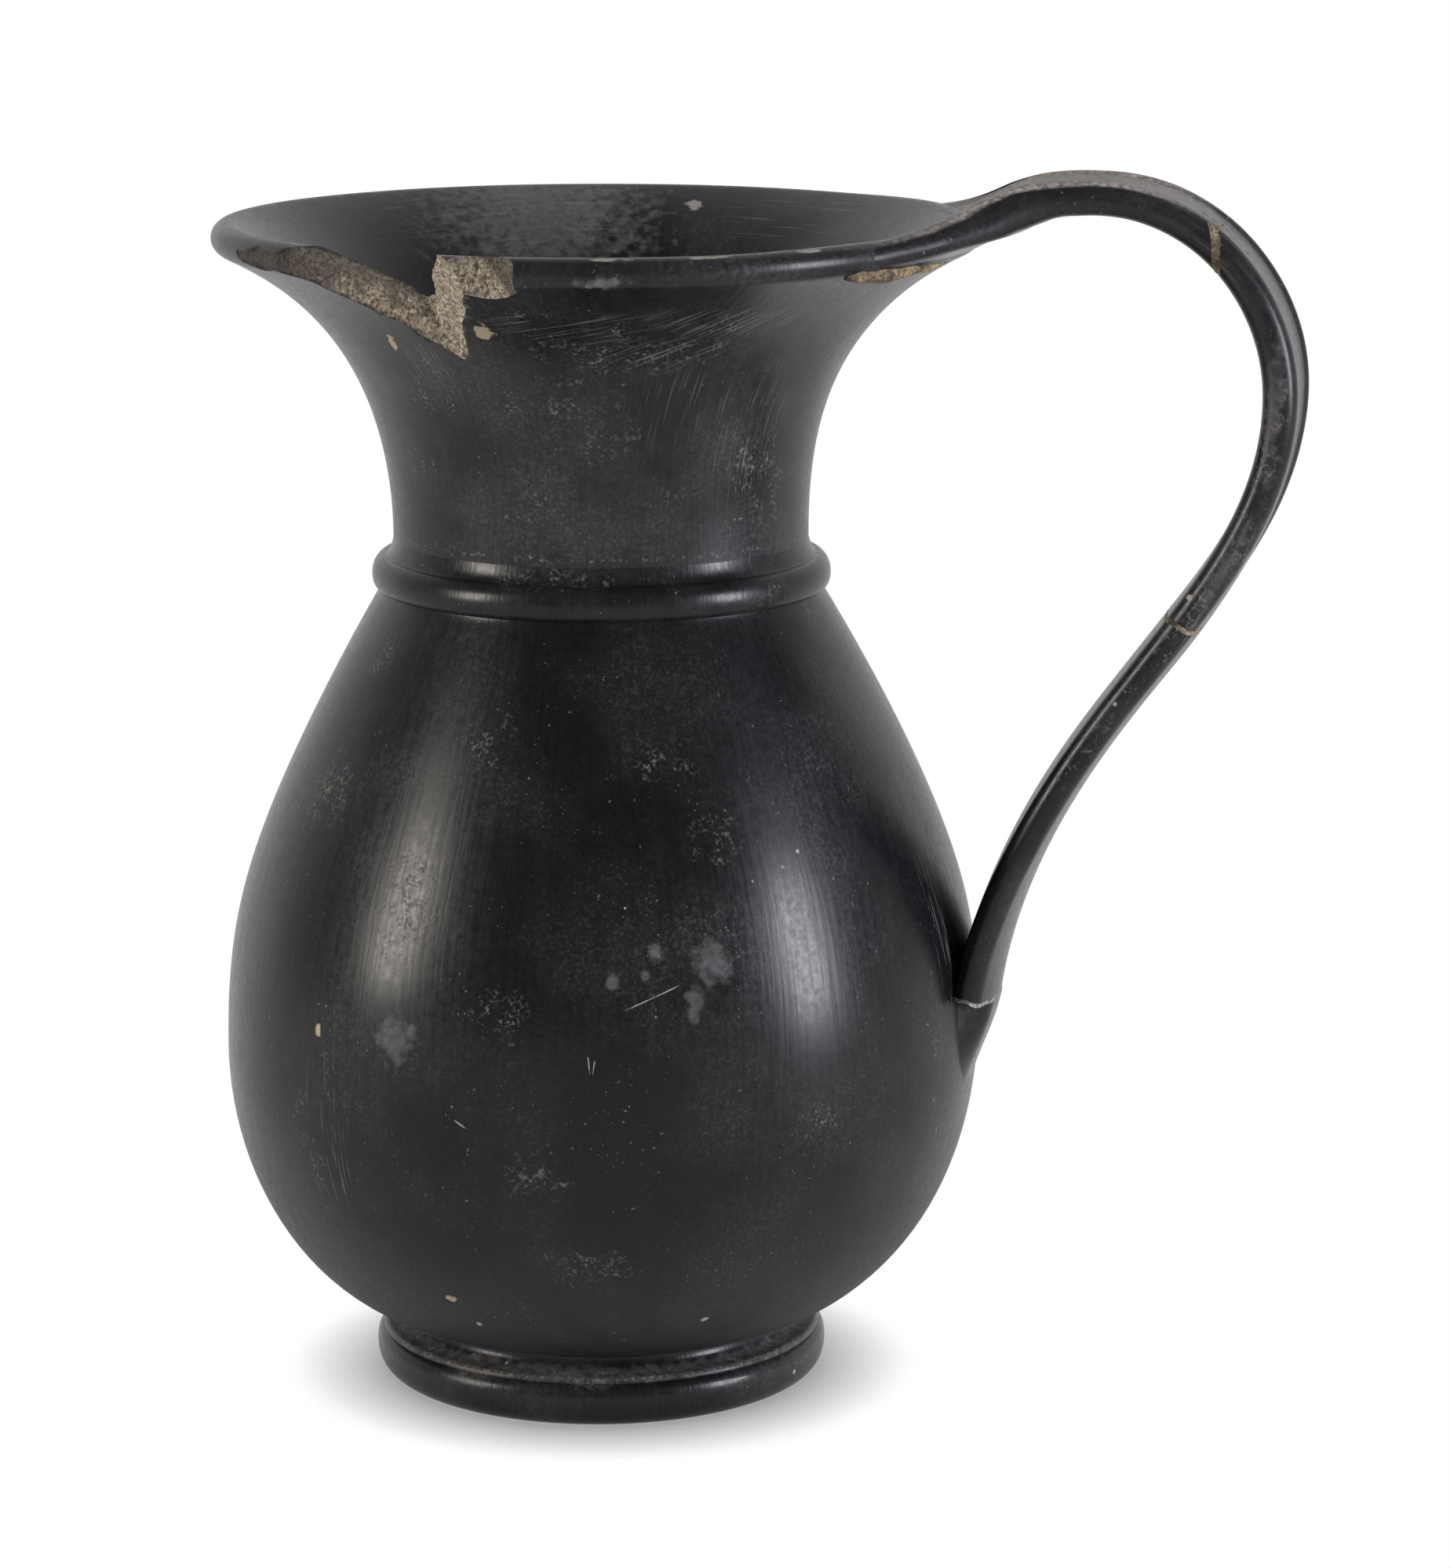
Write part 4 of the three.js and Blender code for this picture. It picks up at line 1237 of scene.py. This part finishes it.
NECK_WEAR = Wear(
    films_and_sheen=[
        Mark(-76, 72.4, 221.8, 6, 1.4), Mark(114, 64, 219, 33, 28, depth=40),
        Mark(14, 62, 219, 22, 14, depth=20),
        Mark(70, 44, 188, 9, 10), Mark(132, 50, 204, 7, 6)],
    dusts=[
        Mark(-76, 72.4, 221.8, 6, 2), Mark(-75.6, 56, 212, 10, 4), Mark(-97.5, 46, 195.7, 3, 5),
        Mark(-22.8, 40.5, 177.4, 2.5, 8), Mark(-118, 40, 167, 10, 2), Mark(-94, 40.5, 166.8, 12, 1.4),
        Mark(-115, 50, 203, 3, 10), Mark(-90, 61.5, 214.5, 10, 2.4), Mark(-50, 58, 212, 12, 5),
        Mark(-78, 44, 189.9, 12, 7), Mark(-57, 41, 181, 5, 5), Mark(-36, 42, 184, 5, 10),
        Mark(-70, 52, 206, 30, 8), Mark(-84, 46, 196, 12, 14), Mark(-30, 43, 182, 5, 14),
        Mark(-92, 42, 178, 8, 8), Mark(-120.6, 47, 197.4, 3, 8),
        Mark(100, 40, 167, 14, 1.4), Mark(40, 56, 211, 9, 4)],
    scratches=[
        Mark(-44.6, 70, 225.8, 4.5, 0.6), Mark(-60, 70, 225.8, 6, 0.4), Mark(-75, 70, 225.8, 6, 0.4),
        Mark(84.9, 63.8, 222.6, 2.6, 1.8)],
    chips=[
        Mark(-97.9, 56.7, 210.9, 2.9, 2.9), Mark(-121.7, 53.2, 207.4, 1.5, 2.6, -20)],
    fields=[
        (-80, 0.58, Mark(-80, 58, 212, 20, 7)), (-62, 0.54, Mark(-50, 59, 212, 24, 9)),
        (-70, 0.58, Mark(-62, 53, 206, 16, 6)), (-6, 0.62, Mark(-38, 44, 188, 14, 26)),
        (-8, 0.63, Mark(-60, 46, 196, 10, 16)), (12, 0.62, Mark(-115, 50, 203, 8, 14)),
        (5, 0.63, Mark(95, 44, 188, 20, 24)), (90, 0.65, Mark(120, 62, 220, 50, 18, depth=18)),
        (90, 0.65, Mark(50, 62, 220, 40, 18, depth=18))],
    # The band along the lip's crest is partly wear and partly a painted highlight.
    bands=[(RIM_HEIGHT, 0.7), (SLOPE_TOP + 0.4, 1.2)], film=0.32, smear_and_sheen=0.85, dust=0.3, roughness=0.25)

ALL_ROUND = 200

RING_WEAR = Wear(
    films_and_sheen=[
        # The first film, all round the foot's ledge and ridge, is partly real film and partly painted sheen.
        Mark(0, 0, 10, ALL_ROUND, 1.5, depth=ALL_ROUND), Mark(-112, 42, 10, 10, 5),
        Mark(-80, 42, 10.5, 16, 3)],
    dusts=[Mark(-112, 42, 10, 9, 5), Mark(-77, 42, 9.7, 12, 2), Mark(-90, 42, 164, 30, 3)],
    scratches=[Mark(-19.3, 44, 4.7, 0.8, 0.8), Mark(-40, 43.5, 7.3, 3, 0.3)],
    chips=[Mark(-105, 41, 10.6, 0.8, 0.5)],
    fields=[(86, 0.63, Mark(60, 43, 6, 14, 4))],
    # The band on the foot's ridge is partly wear and partly a painted highlight.
    bands=[(FOOT_RIDGE_HEIGHT - 0.2, 1.4), (SLOPE_TOP, 1.8)], film=0.22, smear_and_sheen=0.4, dust=0.15, roughness=0.22)

STRAP_WEAR = Wear(
    films_and_sheen=[Mark(-5.8, 131, 194, 2.5, 20, -4, NEAR_SIDE), Mark(-6.3, 122, 165, 2, 14, -28, NEAR_SIDE)],
    dusts=[
        Mark(-5.9, 130, 187, 3, 16, -14, NEAR_SIDE), Mark(-6.1, 125.5, 172, 3, 18, -22, NEAR_SIDE),
        Mark(-6.5, 118.5, 160, 3, 12, -32, NEAR_SIDE), Mark(-6.8, 113, 152, 3, 10, -35, NEAR_SIDE),
        Mark(-8, 97.5, 131, 2, 16, -35, NEAR_SIDE)],
    scratches=[
        Mark(-6.65, 115.7, 159.3, 0.8, 0.8, 0, NEAR_SIDE), Mark(-7.53, 102.3, 138.8, 0.7, 0.7, 0, NEAR_SIDE)],
    chips=[Mark(-9.74, 79.2, 79, 0.8, 0.8, 0, NEAR_SIDE)],
    fields=[(2, 0.63, Mark(-6, 116, 190, 14, 60, 0, NEAR_SIDE))],
    bands=[], film=0.22, smear_and_sheen=0.4, dust=0.12, roughness=0.23, settled=(56, 125))


# Stage, in metres

LAMP_DISTANCE = 1.5
LAMP_WIDTH = 0.22
LAMP_HEIGHT = 0.62
LAMP_AIM = 0.1
FLOOR_SIZE = 6
SHADOW_REACH = 0.026


def lamp(name, side, elevation, power, tint):
    """A tall soft box that faces the vessel from the side given, in degrees from the camera's."""
    data = bpy.data.lights.new(name, "AREA")
    data.shape = "RECTANGLE"
    data.size = LAMP_WIDTH
    data.size_y = LAMP_HEIGHT
    data.energy = power
    data.color = colour(tint)[:3]
    box = bpy.data.objects.new(name, data)
    bpy.context.collection.objects.link(box)
    turn = VIEW_AZIMUTH + math.radians(side)
    rise = math.radians(elevation)
    back = Vector((math.sin(turn) * math.cos(rise), -math.cos(turn) * math.cos(rise), math.sin(rise)))
    box.location = Vector((AXIS, 0, LAMP_AIM)) + back * LAMP_DISTANCE
    box.rotation_euler = (-back).to_track_quat("-Z", "Y").to_euler()


FRONT_LIGHT = "#727275"


def studio():
    """Pale surroundings: white to the eye, dimmer on the photographer's side."""
    world = bpy.data.worlds.new("studio")
    bpy.context.scene.world = world
    world.use_nodes = True
    tree = world.node_tree
    tree.nodes.clear()
    path = tree.nodes.new("ShaderNodeLightPath").outputs
    facing = tree.nodes.new("ShaderNodeTexCoord").outputs["Generated"]
    behind = (-math.sin(VIEW_AZIMUTH), math.cos(VIEW_AZIMUTH), 0)
    depth = add(tree, "VectorMath", {0: facing, 1: behind}, operation="DOT_PRODUCT").node.outputs["Value"]
    back = add(tree, "MapRange", {"Value": depth, "From Min": 0, "From Max": 0.6})
    mirrored = add(tree, "Math", {0: path["Is Glossy Ray"], 1: path["Is Transmission Ray"]}, operation="ADD")
    seen = add(tree, "Math", {0: mirrored, 1: back, 2: path["Is Camera Ray"]}, operation="MULTIPLY_ADD")
    light = add(tree, "Mix", {
        "Factor": seen, "A": colour(FRONT_LIGHT), "B": colour("#ffffff")}, data_type="RGBA")
    background = add(tree, "Background", {"Color": light})
    output = tree.nodes.new("ShaderNodeOutputWorld")
    tree.links.new(background, output.inputs["Surface"])


def floor():
    """A plain pale floor that glows white to the eye, with a soft shadow around the foot painted into its
    glow.
    """
    bpy.ops.object.select_all(action="DESELECT")
    bpy.ops.mesh.primitive_plane_add(size=FLOOR_SIZE)
    ground = begin("floor")
    material, tree, _ = new_material("matt white card")
    path = tree.nodes.new("ShaderNodeLightPath").outputs
    mirrored = add(tree, "Math", {0: path["Is Glossy Ray"], 1: path["Is Transmission Ray"]}, operation="ADD")
    seen = add(tree, "Math", {0: mirrored, 1: path["Is Camera Ray"]}, operation="ADD", use_clamp=True)
    # Painted shadow: ambient occlusion darkens the glow near the vessel; the lamps do not cast it.
    open_sky = add(tree, "AmbientOcclusion", {"Distance": SHADOW_REACH}, samples=16).node.outputs["AO"]
    painted_shadow = add(tree, "MapRange", {"Value": open_sky, "From Min": 0.3, "From Max": 0.75, "To Min": 0.36})
    glow = add(tree, "Emission", {"Color": painted_shadow})
    card = add(tree, "BsdfDiffuse", {"Color": colour("#e6e6e6")})
    blend = add(tree, "MixShader", {0: seen, 1: card, 2: glow})
    output = tree.nodes.new("ShaderNodeOutputMaterial")
    tree.links.new(blend, output.inputs["Surface"])
    material.cycles.emission_sampling = "NONE"
    ground.data.materials.append(material)
    ground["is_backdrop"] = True


def camera():
    """The photograph's view."""
    data = bpy.data.cameras.new("camera")
    data.sensor_width = SENSOR
    data.lens = FOCAL_PIXELS * SENSOR / PHOTO_HEIGHT
    eye = bpy.data.objects.new("camera", data)
    bpy.context.collection.objects.link(eye)
    out = CAMERA_DISTANCE * MM
    eye.location = (AXIS + out * math.sin(VIEW_AZIMUTH), -out * math.cos(VIEW_AZIMUTH), CAMERA_HEIGHT * MM)
    eye.rotation_euler = (math.pi / 2 - CAMERA_PITCH, 0, VIEW_AZIMUTH - CAMERA_YAW)
    bpy.context.scene.camera = eye


# The vessel


def finish_piece(piece, node, material):
    """Gives a piece its material, hangs it from the vessel's root body and hides the model's node that it
    stands for.
    """
    if piece.data.materials:
        piece.data.materials[0] = material
    else:
        piece.data.materials.append(material)
    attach(piece, "root")
    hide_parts(node)


bare = broken_clay("bare broken clay")
belly_clay = burnished_clay("burnished black clay, belly", BELLY_WEAR)
neck_clay = burnished_clay("burnished black clay, neck", NECK_WEAR)
ring_clay = burnished_clay("burnished black clay, rings", RING_WEAR)
strap_clay = burnished_clay("burnished black clay, strap", STRAP_WEAR)
rim_filler = mend_filler("sandy filler under the strap", "#a8926f", "#65543e", 0.75)
strap_filler = mend_filler("sandy filler in the strap", "#94866f", "#5a5042", 0.65)
root_filler = mend_filler("pale filler at the root", "#a29d93", "#635f58", 0.35)

finish_piece(foot_ring(), "foot_ring", ring_clay)
finish_piece(belly(), "belly", belly_clay)
finish_piece(cordon(), "cordon", ring_clay)
neck = neck_and_mouth()
neck.data.materials.append(neck_clay)
cut(neck, lost_shard(bare), lost_spall(bare))
measure_skin(neck)
finish_piece(neck, "neck_and_mouth", neck_clay)

upper = strap_piece("handle_upper_clay", square_end(STRAP_START), UPPER_BREAK.before,
                    STRAP_START, UPPER_BREAK.place, ease=2)
middle = strap_piece("handle_middle_clay", UPPER_BREAK.after, MIDDLE_BREAK.before,
                     UPPER_BREAK.place, MIDDLE_BREAK.place)
lower = strap_piece("handle_lower_clay", MIDDLE_BREAK.after, ROOT_BREAK.before,
                    MIDDLE_BREAK.place, ROOT_PLACE)
finish_piece(upper, "handle_upper", strap_clay)
finish_piece(middle, "handle_middle", strap_clay)
finish_piece(lower, "handle_lower", strap_clay)
finish_piece(handle_root(), "handle_root", strap_clay)
finish_piece(filling("upper_mend_filler", UPPER_BREAK), "upper_mend", strap_filler)
finish_piece(filling("middle_mend_filler", MIDDLE_BREAK), "middle_mend", strap_filler)
finish_piece(filling("root_mend_filler", ROOT_BREAK), "root_mend", root_filler)
finish_piece(rim_mend(), "rim_mend", rim_filler)

floor()
studio()
lamp("soft_box_left", side=-67, elevation=16, power=20, tint="#fffaf2")
lamp("soft_box_right", side=64.5, elevation=10, power=27, tint="#f4f7ff")
camera()
bpy.context.scene.view_settings.view_transform = "Standard"

boxes = {"cad": CAD_BOX, "visual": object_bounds()}
{name: [list(corner) for corner in box] for name, box in boxes.items()}
